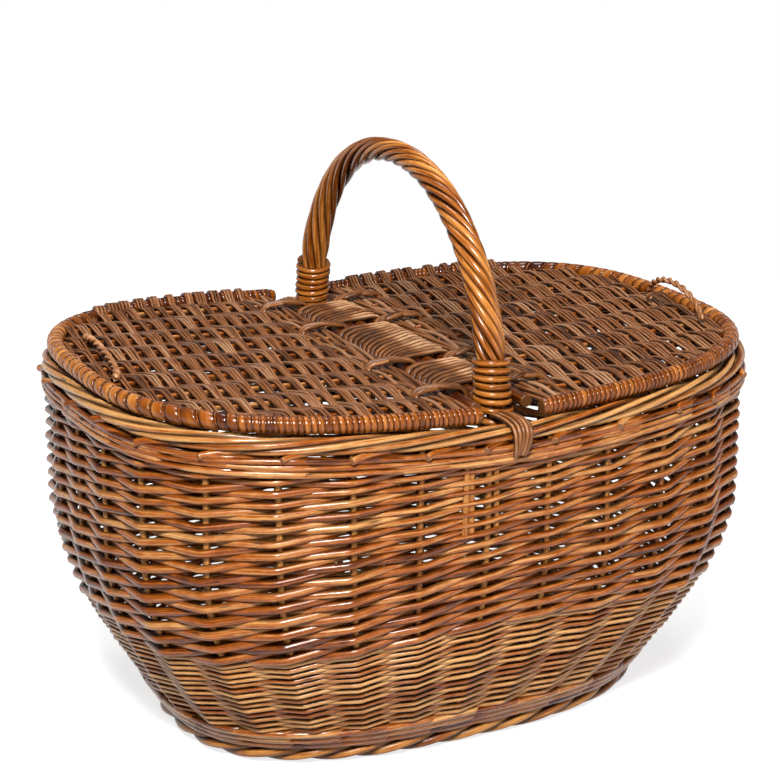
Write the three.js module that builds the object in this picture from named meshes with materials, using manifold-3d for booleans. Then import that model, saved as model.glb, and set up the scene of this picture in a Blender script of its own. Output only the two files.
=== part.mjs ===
// Willow picnic basket: an oval randed body on a rolled foot, a wrapped cross bar between the feet of a
// roped arch handle, and two half lids hinged on the bar by willow loops.
// Millimetres, +Z up, X along the basket, front at -Y, origin on the floor under the middle.
import * as THREE from 'three';
import { mergeVertices } from 'three/addons/utils/BufferGeometryUtils.js';
import Module from 'manifold-3d';

const wasm = await Module();
wasm.setup();

// Space left between neighbouring pieces
const CLEARANCE = 0.3;

// Plan outline at the floor: a superellipse, squarer at the shoulder than at the foot
const FOOT_HALF_LENGTH = 174;
const FOOT_HALF_WIDTH = 115;
const FOOT_SQUARENESS = 2.6;
const SHOULDER_SQUARENESS = 3;

// Wall: it flares from the foot to the shoulder and goes straight up from there
const WALL_SPREAD = 70;
const SHOULDER_HEIGHT = 160;
const FLARE_START_POWER = 1.15;
const FLARE_END_POWER = 1.9;
const WALL_THICKNESS = 8;
const WALE_BULGE = 1.5;

// Heights of the woven bands
const FOOT_BORDER_HEIGHT = 13.7;
const UPSETT_HEIGHT = 16;
const WEAVE_CHANGE_HEIGHT = 112;
const WEAVE_CHANGE_DIP = 20;
const TOP_WALE_HEIGHT = 12;
const RIM_BORDER_HEIGHT = 12.5;
const RIM_HEIGHT = 250.5;

// Weave of the sidings: strokes in front of each stake, narrowing upward, stand out from the rods between
const LOWER_STROKES = 14;
const LOWER_STROKE_NARROWING = 0.06;
const UPPER_STROKES = 15;
const UPPER_STROKE_NARROWING = 0.16;
const STROKE_MARGIN_SHARE = 0.025;
const STROKE_INSET = 0.6;
const STROKE_RELIEF = 4.2;

// Rolled borders
const FOOT_BORDER_WIDTH = 14;
const FOOT_BORDER_ROUND = 2.5;
const RIM_BORDER_WIDTH = 17;
const RIM_BORDER_ROUND = 2.5;

// Base and stakes
const BASE_THICKNESS = 9;
const BASE_LONG_STICK_RADIUS = 2.8;
const BASE_CROSS_STICK_RADIUS = 2.4;
const BASE_LONG_STICKS = 3;
const BASE_LONG_STICK_SPACING = 38;
const BASE_CROSS_STICKS = 5;
const BASE_CROSS_STICK_SPACING = 56;
const STAKE_COUNT = 30;
const STAKE_RADIUS = 3;

// Handle: a bow with a roped sheath that is thinner at the top and drawn in at both feet
const HANDLE_FOOT_INSET = 42;
const HANDLE_TOP_HEIGHT = 398;
const HANDLE_SQUARENESS = 2.1;
const HANDLE_CORE_RADIUS = 5;
const ROPE_LEG_RADIUS = 11;
const ROPE_TOP_RADIUS = 8.3;
const ROPE_FOOT_RADIUS = 8.8;
const HANDLE_LEG_SEAT_TOP = 185;
const HANDLE_LEG_SEAT_BOTTOM = 130;
const BINDING_ROD_RADIUS = 2.2;
const BINDING_TURNS = 6;
const BINDING_PITCH = 5.1;
const TIE_WIDTH = 20;
const TIE_THICKNESS = 3;
const TIE_DROP = 24;

// Cross bar: four rods side by side, wrapped with flat skein between the hinge loops
const BAR_ROD_RADIUS = 4.5;
const BAR_END_INSET = 30;
const BAR_SKEIN_WIDTH = 6.4;
const BAR_SKEIN_THICKNESS = 1.2;
const BAR_SKEIN_PITCH = 9.2;

// Lids
const LID_TILT = THREE.MathUtils.degToRad(2.8);
const LID_INSET = 10;
const HOOP_RADIUS = 4.5;
const HOOP_END_GAP = 2.8;
const HOOP_SKEIN_LOOPS = 22;
const HOOP_SKEIN_PITCH = 15;
const HOOP_SKEIN_WIDTH = 11;
const HOOP_SKEIN_THICKNESS = 1;
const HINGE_ROD_RADIUS = 4.5;
const HINGE_LOOP_ROD_RADIUS = 2;
const HINGE_LOOP_PLACES = [-126, -54, 54, 126];
const HINGE_LOOP_ROOM = 6;
const PANEL_THICKNESS = 7;
const LID_STICK_RADIUS = 2.5;
const LID_STICK_LIFT = 1.2;
const LID_STICKS = 9;
const LID_STICK_SPACING = 36;
const PULL_LOOP_RADIUS = 3;
const PULL_LOOP_SPANS = { left: 120, right: 76 };
const PULL_LOOP_HEIGHTS = { left: 16, right: 24 };
const PULL_LOOP_INSET = 18;
const PULL_LOOP_PLACES = { left: 15, right: -52 };
const PULL_LOOP_STAND = { left: THREE.MathUtils.degToRad(14), right: THREE.MathUtils.degToRad(80) };

// How finely the round forms are divided
const RING_POINTS = 48;
const ROD_SIDES = 8;
const STRIP_STEPS = 8;
const BINDING_STEPS = 10;
const BINDING_SIDES = 5;
const SIDING_STEPS = 3;
const LOOP_BEND_STEPS = 5;
const ARCH_STEPS = 20;
const HOOP_STEPS = 28;

// Heights and sizes that follow from the values above
const upsettBottom = FOOT_BORDER_HEIGHT + CLEARANCE;
const upsettTop = upsettBottom + UPSETT_HEIGHT;
const baseTop = upsettBottom + BASE_THICKNESS;
const rimBorderBottom = RIM_HEIGHT - RIM_BORDER_HEIGHT;
const topWaleTop = rimBorderBottom - CLEARANCE;
const topWaleBottom = topWaleTop - TOP_WALE_HEIGHT;
const wallHalfLength = FOOT_HALF_LENGTH + WALL_SPREAD;
const wallHalfWidth = FOOT_HALF_WIDTH + WALL_SPREAD;
const handleFootY = wallHalfWidth - HANDLE_FOOT_INSET;
const tiltSlope = Math.tan(LID_TILT);

// Circumradius of a polygon with its edges at least a distance from its middle
const around = (distance, sides) => distance / Math.cos(Math.PI / sides);
const bindingRadius = around(ROPE_FOOT_RADIUS + CLEARANCE + BINDING_ROD_RADIUS, BINDING_STEPS);
const bindingOuter = bindingRadius + BINDING_ROD_RADIUS;
const barRodX = bindingOuter + CLEARANCE + BAR_ROD_RADIUS;
const barSkeinInner = around(BAR_ROD_RADIUS + CLEARANCE, STRIP_STEPS);
const barSkeinOuter = barSkeinInner + BAR_SKEIN_THICKNESS;
const hingeRodReach = barSkeinOuter + CLEARANCE + HINGE_ROD_RADIUS;
const hingeLoopRadius = around(
  Math.max(BAR_ROD_RADIUS, HINGE_ROD_RADIUS) + CLEARANCE + HINGE_LOOP_ROD_RADIUS,
  2 * LOOP_BEND_STEPS,
);
const hingeLoopOuter = hingeLoopRadius + HINGE_LOOP_ROD_RADIUS;
const hoopSkeinInner = around(HOOP_RADIUS + 2 * CLEARANCE, STRIP_STEPS);
const hoopSkeinOuter = hoopSkeinInner + HOOP_SKEIN_THICKNESS;
const hoopHalfLength = wallHalfLength - LID_INSET;
const hoopHalfWidth = wallHalfWidth - LID_INSET;
const hoopEndX = barRodX + BAR_ROD_RADIUS + HOOP_END_GAP;

// Rise of the rim from the handle towards both ends, rounded where it starts
const rimRise = (x) => tiltSlope * (Math.hypot(x, LID_INSET) - LID_INSET);
const weaveChangeRise = -WEAVE_CHANGE_DIP / rimRise(wallHalfLength);
const barAxisHeight =
  RIM_HEIGHT + rimRise(barRodX + BAR_ROD_RADIUS) + CLEARANCE + BAR_ROD_RADIUS;
const hoopLift =
  RIM_HEIGHT + rimRise(hoopEndX) + CLEARANCE + hoopSkeinOuter
  - (barAxisHeight + (hoopEndX - barRodX) * tiltSlope);
const panelTop = hoopLift + PANEL_THICKNESS / 2;
const stickAxis = hoopLift + LID_STICK_LIFT;

const range = (count) => Array.from({ length: count }, (_, index) => index);
const centred = (count, spacing) => range(count).map((index) => (index - (count - 1) / 2) * spacing);

// Point of a superellipse in a direction from its middle
function outlinePoint(angle, halfLength, halfWidth, squareness) {
  const across = Math.abs(Math.cos(angle) / halfLength) ** squareness;
  const along = Math.abs(Math.sin(angle) / halfWidth) ** squareness;
  const reach = (across + along) ** (-1 / squareness);
  return new THREE.Vector2(reach * Math.cos(angle), reach * Math.sin(angle));
}

// Half length of a superellipse at a distance to the side of its long axis
function reachAt(side, halfLength, halfWidth, squareness) {
  return halfLength * (1 - (Math.abs(side) / halfWidth) ** squareness) ** (1 / squareness);
}

const flareShare = (height) => THREE.MathUtils.clamp(height / SHOULDER_HEIGHT, 0, 1);
const spreadAt = (height) =>
  WALL_SPREAD * (1 - (1 - flareShare(height) ** FLARE_START_POWER) ** FLARE_END_POWER);
const squarenessAt = (height) =>
  THREE.MathUtils.lerp(FOOT_SQUARENESS, SHOULDER_SQUARENESS, flareShare(height));

// Corner of the faceted wall: depth goes inward from the outer surface, rise lifts it with the rim
function wallCorner(index, { z, rise = 0, depth = 0 }) {
  const angle = (index / RING_POINTS) * 2 * Math.PI;
  const nominal = spreadAt(z) - depth;
  const plan = outlinePoint(
    angle, FOOT_HALF_LENGTH + nominal, FOOT_HALF_WIDTH + nominal, squarenessAt(z),
  );
  const height = z + rise * rimRise(plan.x);
  const offset = spreadAt(height) - depth;
  const point = outlinePoint(
    angle, FOOT_HALF_LENGTH + offset, FOOT_HALF_WIDTH + offset, squarenessAt(height),
  );
  return new THREE.Vector3(point.x, point.y, height);
}

// Place on the flat facet between two corners
function wallPlace(angle, level) {
  const turns = (angle / (2 * Math.PI)) * RING_POINTS;
  const first = Math.floor(turns);
  return wallCorner(first, level).lerp(wallCorner(first + 1, level), turns - first);
}

// Directions at shares of the way round the rim, from the front middle
function rimAngles(shares) {
  const fine = 8 * RING_POINTS;
  const rim = { z: SHOULDER_HEIGHT };
  const start = -Math.PI / 2;
  const angles = range(fine + 1).map((index) => start + (index / fine) * 2 * Math.PI);
  const places = angles.map((angle) => wallPlace(angle, rim));
  const lengths = [0];
  for (let index = 1; index <= fine; index += 1) {
    lengths.push(lengths[index - 1] + places[index].distanceTo(places[index - 1]));
  }
  return shares.map((share) => {
    const goal = share * lengths[fine];
    const after = lengths.findIndex((length) => length >= goal);
    const part = (goal - lengths[after - 1]) / (lengths[after] - lengths[after - 1]);
    return THREE.MathUtils.lerp(angles[after - 1], angles[after], part);
  });
}

// Level at a share of the way from one height to another, with the rise changing alike
function levelBetween(low, high, share) {
  return {
    z: THREE.MathUtils.lerp(low.z, high.z, share),
    rise: THREE.MathUtils.lerp(low.rise, high.rise, share),
  };
}

function levelsBetween(low, high, steps = SIDING_STEPS) {
  return range(steps + 1).map((step) => levelBetween(low, high, step / steps));
}

// Rows up a randed band: its strokes at even rows, the gaps between them at odd ones
function strokeRows(levels, strokes, narrowing) {
  const last = 2 * (strokes - 1);
  return range(last + 1).map((row) => {
    const share = row / last;
    const climbed = share * (1 + narrowing * (1 - share));
    const place = THREE.MathUtils.lerp(STROKE_MARGIN_SHARE, 1 - STROKE_MARGIN_SHARE, climbed);
    return levelBetween(levels[0], levels.at(-1), place);
  });
}

// Indexed geometry with its faces turned outward
function outward(positions, faces) {
  const corner = (index) => new THREE.Vector3().fromArray(positions, 3 * index);
  let volume = 0;
  for (let start = 0; start < faces.length; start += 3) {
    const [a, b, c] = faces.slice(start, start + 3).map(corner);
    volume += a.dot(b.cross(c));
  }
  const geometry = new THREE.BufferGeometry();
  geometry.setAttribute('position', new THREE.Float32BufferAttribute(positions, 3));
  geometry.setIndex(volume < 0 ? faces.reverse() : faces);
  return geometry;
}

// Closed solid through rings of points: its ends are capped, or joined to each other
function skin(rings, endsJoined = false) {
  const count = rings[0].length;
  const positions = rings.flat().flatMap((point) => point.toArray());
  const faces = [];
  const spans = endsJoined ? rings.length : rings.length - 1;
  for (let ring = 0; ring < spans; ring += 1) {
    const here = ring * count;
    const there = ((ring + 1) % rings.length) * count;
    for (let point = 0; point < count; point += 1) {
      const next = (point + 1) % count;
      faces.push(here + point, here + next, there + point);
      faces.push(here + next, there + next, there + point);
    }
  }
  const end = spans * count;
  for (let point = 1; !endsJoined && point < count - 1; point += 1) {
    faces.push(0, point + 1, point);
    faces.push(end, end + point, end + point + 1);
  }
  return outward(positions, faces);
}

// Ring round the basket with a closed profile of wall levels
function wallRing(profile) {
  return skin(
    range(RING_POINTS).map((index) => profile.map((level) => wallCorner(index, level))),
    true,
  );
}

// Woven band between levels, as thick as the wall, with its outer face bulging
function wovenBand(levels, bulge = 0) {
  const outer = levels.map((level) => ({ ...level, depth: -bulge }));
  const inner = levels.map((level) => ({ ...level, depth: WALL_THICKNESS }));
  return wallRing([...outer, ...inner.reverse()]);
}

// The same solid with coinciding points joined, without the faces that this leaves empty
function joined(geometry) {
  const merged = mergeVertices(geometry);
  const corners = [...merged.index.array];
  const faces = range(corners.length / 3).map((face) => corners.slice(3 * face, 3 * face + 3));
  merged.setIndex(faces.filter((face) => new Set(face).size === 3).flat());
  return merged;
}

// Randed band: strokes stand out over the stakes and go back to the rods midway between two stakes
function randedBand(levels, rows) {
  const root = (level) => ({ ...level, depth: STROKE_INSET + STROKE_RELIEF });
  const crest = (level) => ({ ...level, depth: STROKE_INSET });
  const top = levels.at(-1);
  const inner = levels.map((level) => ({ ...level, depth: WALL_THICKNESS })).reverse();
  const overStake = rows.map((level, row) => (row % 2 ? root(level) : crest(level)));
  const between = rows.map((level, row) => root(row % 2 ? level : rows[row + 1] ?? top));
  const profiles = [overStake, between].map((outer) => [root(levels[0]), ...outer, root(top), ...inner]);
  const columns = range(2 * STAKE_COUNT).map((index) => (index + 1) / (2 * STAKE_COUNT));
  const rings = rimAngles(columns).map((angle, index) =>
    profiles[index % 2].map((level) => wallPlace(angle, level)));
  return joined(skin(rings, true));
}

// Rolled border: flat above and below, its outer face rounded
function rolledBorder(bottom, top, rise, width, round) {
  const shoulder = (top - bottom) / 3;
  return wallRing([
    { z: bottom, rise, depth: 0 },
    { z: bottom + shoulder, rise, depth: -round },
    { z: top - shoulder, rise, depth: -round },
    { z: top, rise, depth: 0 },
    { z: top, rise, depth: width },
    { z: bottom, rise, depth: width },
  ]);
}

function toSolid(geometry) {
  const bare = geometry.clone();
  bare.deleteAttribute('normal');
  bare.deleteAttribute('uv');
  const merged = mergeVertices(bare);
  return new wasm.Manifold(new wasm.Mesh({
    numProp: 3,
    vertProperties: new Float32Array(merged.attributes.position.array),
    triVerts: new Uint32Array(merged.index.array),
  }));
}

function toGeometry(solid) {
  const mesh = solid.getMesh();
  const geometry = new THREE.BufferGeometry();
  geometry.setAttribute('position', new THREE.BufferAttribute(mesh.vertProperties, 3));
  geometry.setIndex(new THREE.BufferAttribute(mesh.triVerts, 1));
  return geometry;
}

const fused = (geometries) =>
  toGeometry(geometries.map(toSolid).reduce((whole, piece) => whole.add(piece)));
const cut = (geometry, tools) =>
  toGeometry(tools.map(toSolid).reduce((rest, tool) => rest.subtract(tool), toSolid(geometry)));

// Straight rods, and a box between two corners
function rodAlongY(radius, halfLength, x, y, z) {
  return new THREE.CylinderGeometry(radius, radius, 2 * halfLength, ROD_SIDES).translate(x, y, z);
}

function rodAlongX(radius, from, to, y, z) {
  const rod = new THREE.CylinderGeometry(radius, radius, Math.abs(to - from), ROD_SIDES);
  return rod.rotateZ(Math.PI / 2).translate((from + to) / 2, y, z);
}

function boxBetween(low, high) {
  const size = new THREE.Vector3().subVectors(high, low);
  const middle = new THREE.Vector3().addVectors(low, high).multiplyScalar(0.5);
  return new THREE.BoxGeometry(size.x, size.y, size.z).translate(middle.x, middle.y, middle.z);
}

// Round section in the plane of two directions
function roundSection(middle, first, second, radius, sides) {
  return range(sides).map((side) => {
    const turn = (side / sides) * 2 * Math.PI;
    return middle.clone()
      .addScaledVector(first, radius * Math.cos(turn))
      .addScaledVector(second, radius * Math.sin(turn));
  });
}

// Flat section: its thickness goes outward from an inner distance, its width along the other direction
function stripSection(middle, out, along, inner, outer, width) {
  const corner = (distance, side) => middle.clone()
    .addScaledVector(out, distance)
    .addScaledVector(along, (side * width) / 2);
  return [corner(inner, -1), corner(inner, 1), corner(outer, 1), corner(outer, -1)];
}

// Rod along points in a plane, its section square to the line through the neighbouring points
function planarRod(points, planeNormal, radius, sides, closed = false) {
  const count = points.length;
  const rings = points.map((point, index) => {
    const before = closed ? points.at(index - 1) : points[Math.max(index - 1, 0)];
    const after = closed ? points[(index + 1) % count] : points[Math.min(index + 1, count - 1)];
    const tangent = new THREE.Vector3().subVectors(after, before).normalize();
    const side = new THREE.Vector3().crossVectors(planeNormal, tangent);
    return roundSection(point, planeNormal, side, radius, sides);
  });
  return skin(rings, closed);
}

// Winding through its sections: prints its least distance to itself between turns
function winding(name, rings, stepsPerTurn) {
  let least = Infinity;
  rings.forEach((ring, index) => {
    for (const other of rings.slice(index + stepsPerTurn / 2)) {
      for (const point of ring) {
        least = Math.min(least, ...other.map((corner) => corner.distanceTo(point)));
      }
    }
  });
  console.log(`${name}: least gap to itself ${least.toFixed(2)} mm`);
  return skin(rings);
}

const axisX = new THREE.Vector3(1, 0, 0);
const axisY = new THREE.Vector3(0, 1, 0);
const axisZ = new THREE.Vector3(0, 0, 1);

const basket = new THREE.Group();

function addMesh(group, name, geometry, color, roughness) {
  const material = new THREE.MeshStandardMaterial({ color, roughness, metalness: 0 });
  const mesh = new THREE.Mesh(geometry, material);
  mesh.name = name;
  group.add(mesh);
}

// Willow tones: golden body, browner lids, varnished orange-brown handle and hoops, pale skein
const WILLOW = { body: 0xa4662c, dark: 0x7d4a24, lid: 0x70472c, varnished: 0xa65a1e, skein: 0xb9793a };

// Base: crossed sticks let into the underside of the woven base, the cross sticks through the long ones
const baseStickAxis = upsettBottom + Math.max(BASE_LONG_STICK_RADIUS, BASE_CROSS_STICK_RADIUS);

function baseStickRuns() {
  const edge = wallCorner(0, { z: upsettBottom, depth: WALL_THICKNESS }).x;
  const inset = FOOT_HALF_LENGTH - edge + BASE_LONG_STICK_RADIUS + CLEARANCE;
  const halfLength = FOOT_HALF_LENGTH - inset;
  const halfWidth = FOOT_HALF_WIDTH - inset;
  const long = centred(BASE_LONG_STICKS, BASE_LONG_STICK_SPACING).map((y) => {
    const radius = BASE_LONG_STICK_RADIUS;
    const reach = reachAt(Math.abs(y) + radius, halfLength, halfWidth, FOOT_SQUARENESS);
    return { x: 0, y, half: new THREE.Vector3(reach, radius, radius) };
  });
  const cross = centred(BASE_CROSS_STICKS, BASE_CROSS_STICK_SPACING).map((x) => {
    const radius = BASE_CROSS_STICK_RADIUS;
    const reach = reachAt(Math.abs(x) + radius, halfWidth, halfLength, FOOT_SQUARENESS);
    return { x, y: 0, half: new THREE.Vector3(radius, reach, radius) };
  });
  return [...long, ...cross];
}

function baseStick({ x, y, half }) {
  const middle = new THREE.Vector3(x, y, baseStickAxis);
  return boxBetween(middle.clone().sub(half), middle.clone().add(half));
}

// Groove for a stick, open below
function baseGroove({ x, y, half }) {
  const middle = new THREE.Vector3(x, y, baseStickAxis);
  const roomy = half.clone().addScalar(CLEARANCE);
  const low = middle.clone().sub(roomy).setZ(upsettBottom - CLEARANCE);
  return boxBetween(low, middle.clone().add(roomy));
}

const stickRuns = baseStickRuns();
const baseSlab = skin([upsettBottom, baseTop].map((z) =>
  range(RING_POINTS).map((index) => wallCorner(index, { z, depth: WALL_THICKNESS + CLEARANCE }))));
addMesh(basket, 'base_weave', cut(baseSlab, stickRuns.map(baseGroove)), WILLOW.body, 0.6);
addMesh(basket, 'base_sticks', fused(stickRuns.map(baseStick)), WILLOW.dark, 0.6);

// Wall: foot border, upsett, two sidings, wale and rolled rim
const weaveChange = { z: WEAVE_CHANGE_HEIGHT, rise: weaveChangeRise };
const lifted = (level) => ({ ...level, z: level.z + CLEARANCE });
const sidingTop = { z: topWaleBottom - CLEARANCE, rise: 1 };
const lowerLevels = levelsBetween({ z: upsettTop + CLEARANCE, rise: 0 }, weaveChange);
const upperLevels = levelsBetween(lifted(weaveChange), sidingTop);
const upsettLevels = [upsettBottom, baseTop, upsettTop].map((z) => ({ z }));
const waleLevels = levelsBetween({ z: topWaleBottom, rise: 1 }, { z: topWaleTop, rise: 1 }, 1);
addMesh(
  basket, 'foot_border',
  rolledBorder(0, FOOT_BORDER_HEIGHT, 0, FOOT_BORDER_WIDTH, FOOT_BORDER_ROUND), WILLOW.dark, 0.5,
);
addMesh(basket, 'upsett_wale', wovenBand(upsettLevels, WALE_BULGE), WILLOW.body, 0.5);
const lowerRows = strokeRows(lowerLevels, LOWER_STROKES, LOWER_STROKE_NARROWING);
const upperRows = strokeRows(upperLevels, UPPER_STROKES, UPPER_STROKE_NARROWING);
addMesh(basket, 'lower_siding', randedBand(lowerLevels, lowerRows), WILLOW.body, 0.5);
addMesh(basket, 'upper_siding', randedBand(upperLevels, upperRows), WILLOW.body, 0.5);
addMesh(basket, 'top_wale', wovenBand(waleLevels, WALE_BULGE), WILLOW.body, 0.5);
addMesh(
  basket, 'rim_border',
  rolledBorder(rimBorderBottom, RIM_HEIGHT, 1, RIM_BORDER_WIDTH, RIM_BORDER_ROUND), WILLOW.body, 0.45,
);

// Stakes stand inside the weave, with the handle's legs midway between two, and join below the rim
const stakeAngles = rimAngles(range(STAKE_COUNT).map((stake) => (stake + 0.5) / STAKE_COUNT));
const stakeDepth = WALL_THICKNESS + CLEARANCE + STAKE_RADIUS;
const stakeRingTop = topWaleTop;
const stakeRingBottom = stakeRingTop - 2 * STAKE_RADIUS;
const stakeLevels = [
  { z: baseTop + CLEARANCE, rise: 0 },
  ...lowerLevels,
  ...upperLevels.slice(1),
  { z: stakeRingTop - STAKE_RADIUS, rise: 1 },
];

function stake(angle) {
  const nudge = Math.PI / (4 * RING_POINTS);
  const rings = stakeLevels.map((level) => {
    const place = { ...level, depth: stakeDepth };
    const middle = wallPlace(angle, place);
    const tangent = wallPlace(angle + nudge, place).sub(wallPlace(angle - nudge, place)).setZ(0).normalize();
    const inward = new THREE.Vector3().crossVectors(axisZ, tangent);
    return roundSection(middle, inward, tangent, STAKE_RADIUS, 4);
  });
  return skin(rings);
}

const stakeRing = wallRing([
  { z: stakeRingBottom, rise: 1, depth: stakeDepth - STAKE_RADIUS },
  { z: stakeRingTop, rise: 1, depth: stakeDepth - STAKE_RADIUS },
  { z: stakeRingTop, rise: 1, depth: stakeDepth + STAKE_RADIUS },
  { z: stakeRingBottom, rise: 1, depth: stakeDepth + STAKE_RADIUS },
]);
addMesh(basket, 'side_stakes', fused([stakeRing, ...stakeAngles.map(stake)]), WILLOW.dark, 0.55);

// Handle arch from the front foot over the top to the back foot
function archPoint(share) {
  const turn = Math.PI * THREE.MathUtils.clamp(share, 0, 1);
  const power = 2 / HANDLE_SQUARENESS;
  const side = Math.cos(turn);
  const y = -handleFootY * Math.sign(side) * Math.abs(side) ** power;
  const z = RIM_HEIGHT + (HANDLE_TOP_HEIGHT - RIM_HEIGHT) * Math.sin(turn) ** power;
  return new THREE.Vector3(0, y, z);
}

const archCurve = new THREE.CatmullRomCurve3(range(4 * ARCH_STEPS + 1).map((step) =>
  archPoint(step / (4 * ARCH_STEPS))));
const archLength = archCurve.getLength();
const bindingLength = BINDING_TURNS * BINDING_PITCH + 2 * BINDING_ROD_RADIUS;

function archSection(distance) {
  const share = distance / archLength;
  const middle = archCurve.getPointAt(share);
  const normal = new THREE.Vector3().crossVectors(axisX, archCurve.getTangentAt(share));
  return { middle, normal };
}

// Rope radius: drawn in under the bindings, then thinning towards the top of the arch
function ropeRadius(distance) {
  const fromFoot = Math.min(distance, archLength - distance);
  const taper = THREE.MathUtils.lerp(ROPE_LEG_RADIUS, ROPE_TOP_RADIUS, (2 * fromFoot) / archLength);
  const drawn = THREE.MathUtils.smoothstep(fromFoot, bindingLength, bindingLength + ROPE_LEG_RADIUS);
  return THREE.MathUtils.lerp(ROPE_FOOT_RADIUS, taper, drawn);
}

const archStations = [
  0,
  bindingLength / 2,
  ...range(ARCH_STEPS + 1).map((step) =>
    THREE.MathUtils.lerp(bindingLength, archLength - bindingLength, step / ARCH_STEPS)),
  archLength - bindingLength / 2,
  archLength,
];

function handleRope() {
  const bore = HANDLE_CORE_RADIUS + CLEARANCE;
  const sections = archStations.map((distance) =>
    ({ ...archSection(distance), radius: ropeRadius(distance) }));
  const place = ({ middle, normal }, turn, radius) => middle.clone()
    .addScaledVector(axisX, radius * Math.cos(turn))
    .addScaledVector(normal, radius * Math.sin(turn));
  const lengthwise = range(ROD_SIDES).map((side) => {
    const turn = (side / ROD_SIDES) * 2 * Math.PI;
    const outer = sections.map((section) => place(section, turn, section.radius));
    const inner = sections.map((section) => place(section, turn, bore));
    return [...outer, ...inner.reverse()];
  });
  return skin(lengthwise, true);
}

// Distance of the faceted wall from the long axis at the handle, at a height and a depth
function wallReach(height, depth) {
  const levels = [...lowerLevels, ...upperLevels];
  const above = levels.findIndex(({ z }) => z >= height);
  const [low, high] = [levels[above - 1], levels[above]];
  const [near, far] = [low, high].map((level) => wallCorner(RING_POINTS / 4, { ...level, depth }).y);
  return THREE.MathUtils.mapLinear(height, low.z, high.z, near, far);
}

// Each leg of the bow bends out below the rim and lies against the inside of the wall
function handleCore() {
  const seatDepth = WALL_THICKNESS + 2 * CLEARANCE + HANDLE_CORE_RADIUS;
  const legHeights = [HANDLE_LEG_SEAT_BOTTOM, HANDLE_LEG_SEAT_TOP];
  const seats = legHeights.map((z) => ({ y: wallReach(z, seatDepth), z }));
  const legRings = (side) => seats.map(({ y, z }) =>
    roundSection(
      new THREE.Vector3(0, side * y, z), axisX, new THREE.Vector3(0, side, 0), HANDLE_CORE_RADIUS, ROD_SIDES,
    ));
  const archRings = archStations.map((distance) => {
    const { middle, normal } = archSection(distance);
    return roundSection(middle, axisX, normal, HANDLE_CORE_RADIUS, ROD_SIDES);
  });
  return skin([...legRings(-1), ...archRings, ...legRings(1).reverse()]);
}

addMesh(basket, 'handle_core', handleCore(), WILLOW.dark, 0.5);
addMesh(basket, 'handle_rope', handleRope(), WILLOW.varnished, 0.35);

// Binding round each foot of the handle
function handleBinding(name, side) {
  const rings = range(BINDING_TURNS * BINDING_STEPS + 1).map((step) => {
    const turn = (step / BINDING_STEPS) * 2 * Math.PI;
    const distance = BINDING_ROD_RADIUS + (step / BINDING_STEPS) * BINDING_PITCH;
    const { middle, normal } = archSection(distance);
    const out = axisX.clone().multiplyScalar(Math.cos(turn)).addScaledVector(normal, Math.sin(turn));
    const along = new THREE.Vector3().crossVectors(axisX, normal);
    const place = middle.addScaledVector(out, bindingRadius);
    const ring = roundSection(place, out, along, BINDING_ROD_RADIUS, BINDING_SIDES);
    ring.forEach((point) => point.setY(-side * point.y));
    return ring;
  });
  return winding(name, rings, BINDING_STEPS);
}

// Tie from the foot of the handle over the rim and down its outer face
function handleTie(side) {
  const half = TIE_THICKNESS / 2;
  const lift = half + CLEARANCE;
  const outerY = wallHalfWidth + RIM_BORDER_ROUND + lift;
  const topZ = RIM_HEIGHT + rimRise(TIE_WIDTH / 2) + lift;
  const line = [
    [handleFootY + bindingOuter + CLEARANCE, topZ],
    [wallHalfWidth + lift, topZ],
    [outerY, topZ - RIM_BORDER_HEIGHT / 3],
    [outerY, RIM_HEIGHT - TIE_DROP],
  ];
  const turned = [[0, 1], [0.5, 1], [1, 0.4], [1, 0]];
  const rings = line.map(([y, z], index) => {
    const out = new THREE.Vector3(0, side * turned[index][0], turned[index][1]).normalize();
    return stripSection(new THREE.Vector3(0, side * y, z), out, axisX, -half, half, TIE_WIDTH);
  });
  return skin(rings);
}

for (const [end, side] of [['front', -1], ['back', 1]]) {
  const bindingName = `handle_binding_${end}`;
  addMesh(basket, bindingName, handleBinding(bindingName, side), WILLOW.varnished, 0.35);
  addMesh(basket, `handle_tie_${end}`, handleTie(side), WILLOW.skein, 0.45);
}

// Cross bar rods: the outer pair passes the handle's bindings, the inner pair ends at them
const barOuterHalf = wallHalfWidth - BAR_END_INSET;
const barInnerHalf = handleFootY - bindingOuter - CLEARANCE;
const barInnerX = BAR_ROD_RADIUS + CLEARANCE / 2;
for (const [name, side] of [['left', -1], ['right', 1]]) {
  addMesh(
    basket, `bar_rod_outer_${name}`,
    rodAlongY(BAR_ROD_RADIUS, barOuterHalf, side * barRodX, 0, barAxisHeight), WILLOW.dark, 0.5,
  );
  addMesh(
    basket, `bar_rod_inner_${name}`,
    rodAlongY(BAR_ROD_RADIUS, barInnerHalf, side * barInnerX, 0, barAxisHeight), WILLOW.dark, 0.5,
  );
}

// Skein round the bar between two hinge loops, advancing a little at each corner of its flat loop
function barSkein(name, from, to) {
  const bend = STRIP_STEPS / 2;
  const corners = [1, -1].flatMap((side) => range(bend + 1).map((step) => {
    const turn = (side * Math.PI) / 2 - (step / bend) * Math.PI;
    return { x: side * barRodX, out: new THREE.Vector3(Math.cos(turn), 0, Math.sin(turn)) };
  }));
  const stepsPerTurn = corners.length;
  const room = to - from - BAR_SKEIN_WIDTH;
  const turns = Math.floor(room / BAR_SKEIN_PITCH);
  const start = (from + to) / 2 - (turns * BAR_SKEIN_PITCH) / 2;
  const rings = range(turns * stepsPerTurn + 1).map((step) => {
    const { x, out } = corners[step % stepsPerTurn];
    const y = start + (step / stepsPerTurn) * BAR_SKEIN_PITCH;
    const middle = new THREE.Vector3(x, y, barAxisHeight);
    return stripSection(middle, out, axisY, barSkeinInner, barSkeinOuter, BAR_SKEIN_WIDTH);
  });
  return winding(name, rings, stepsPerTurn);
}

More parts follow.
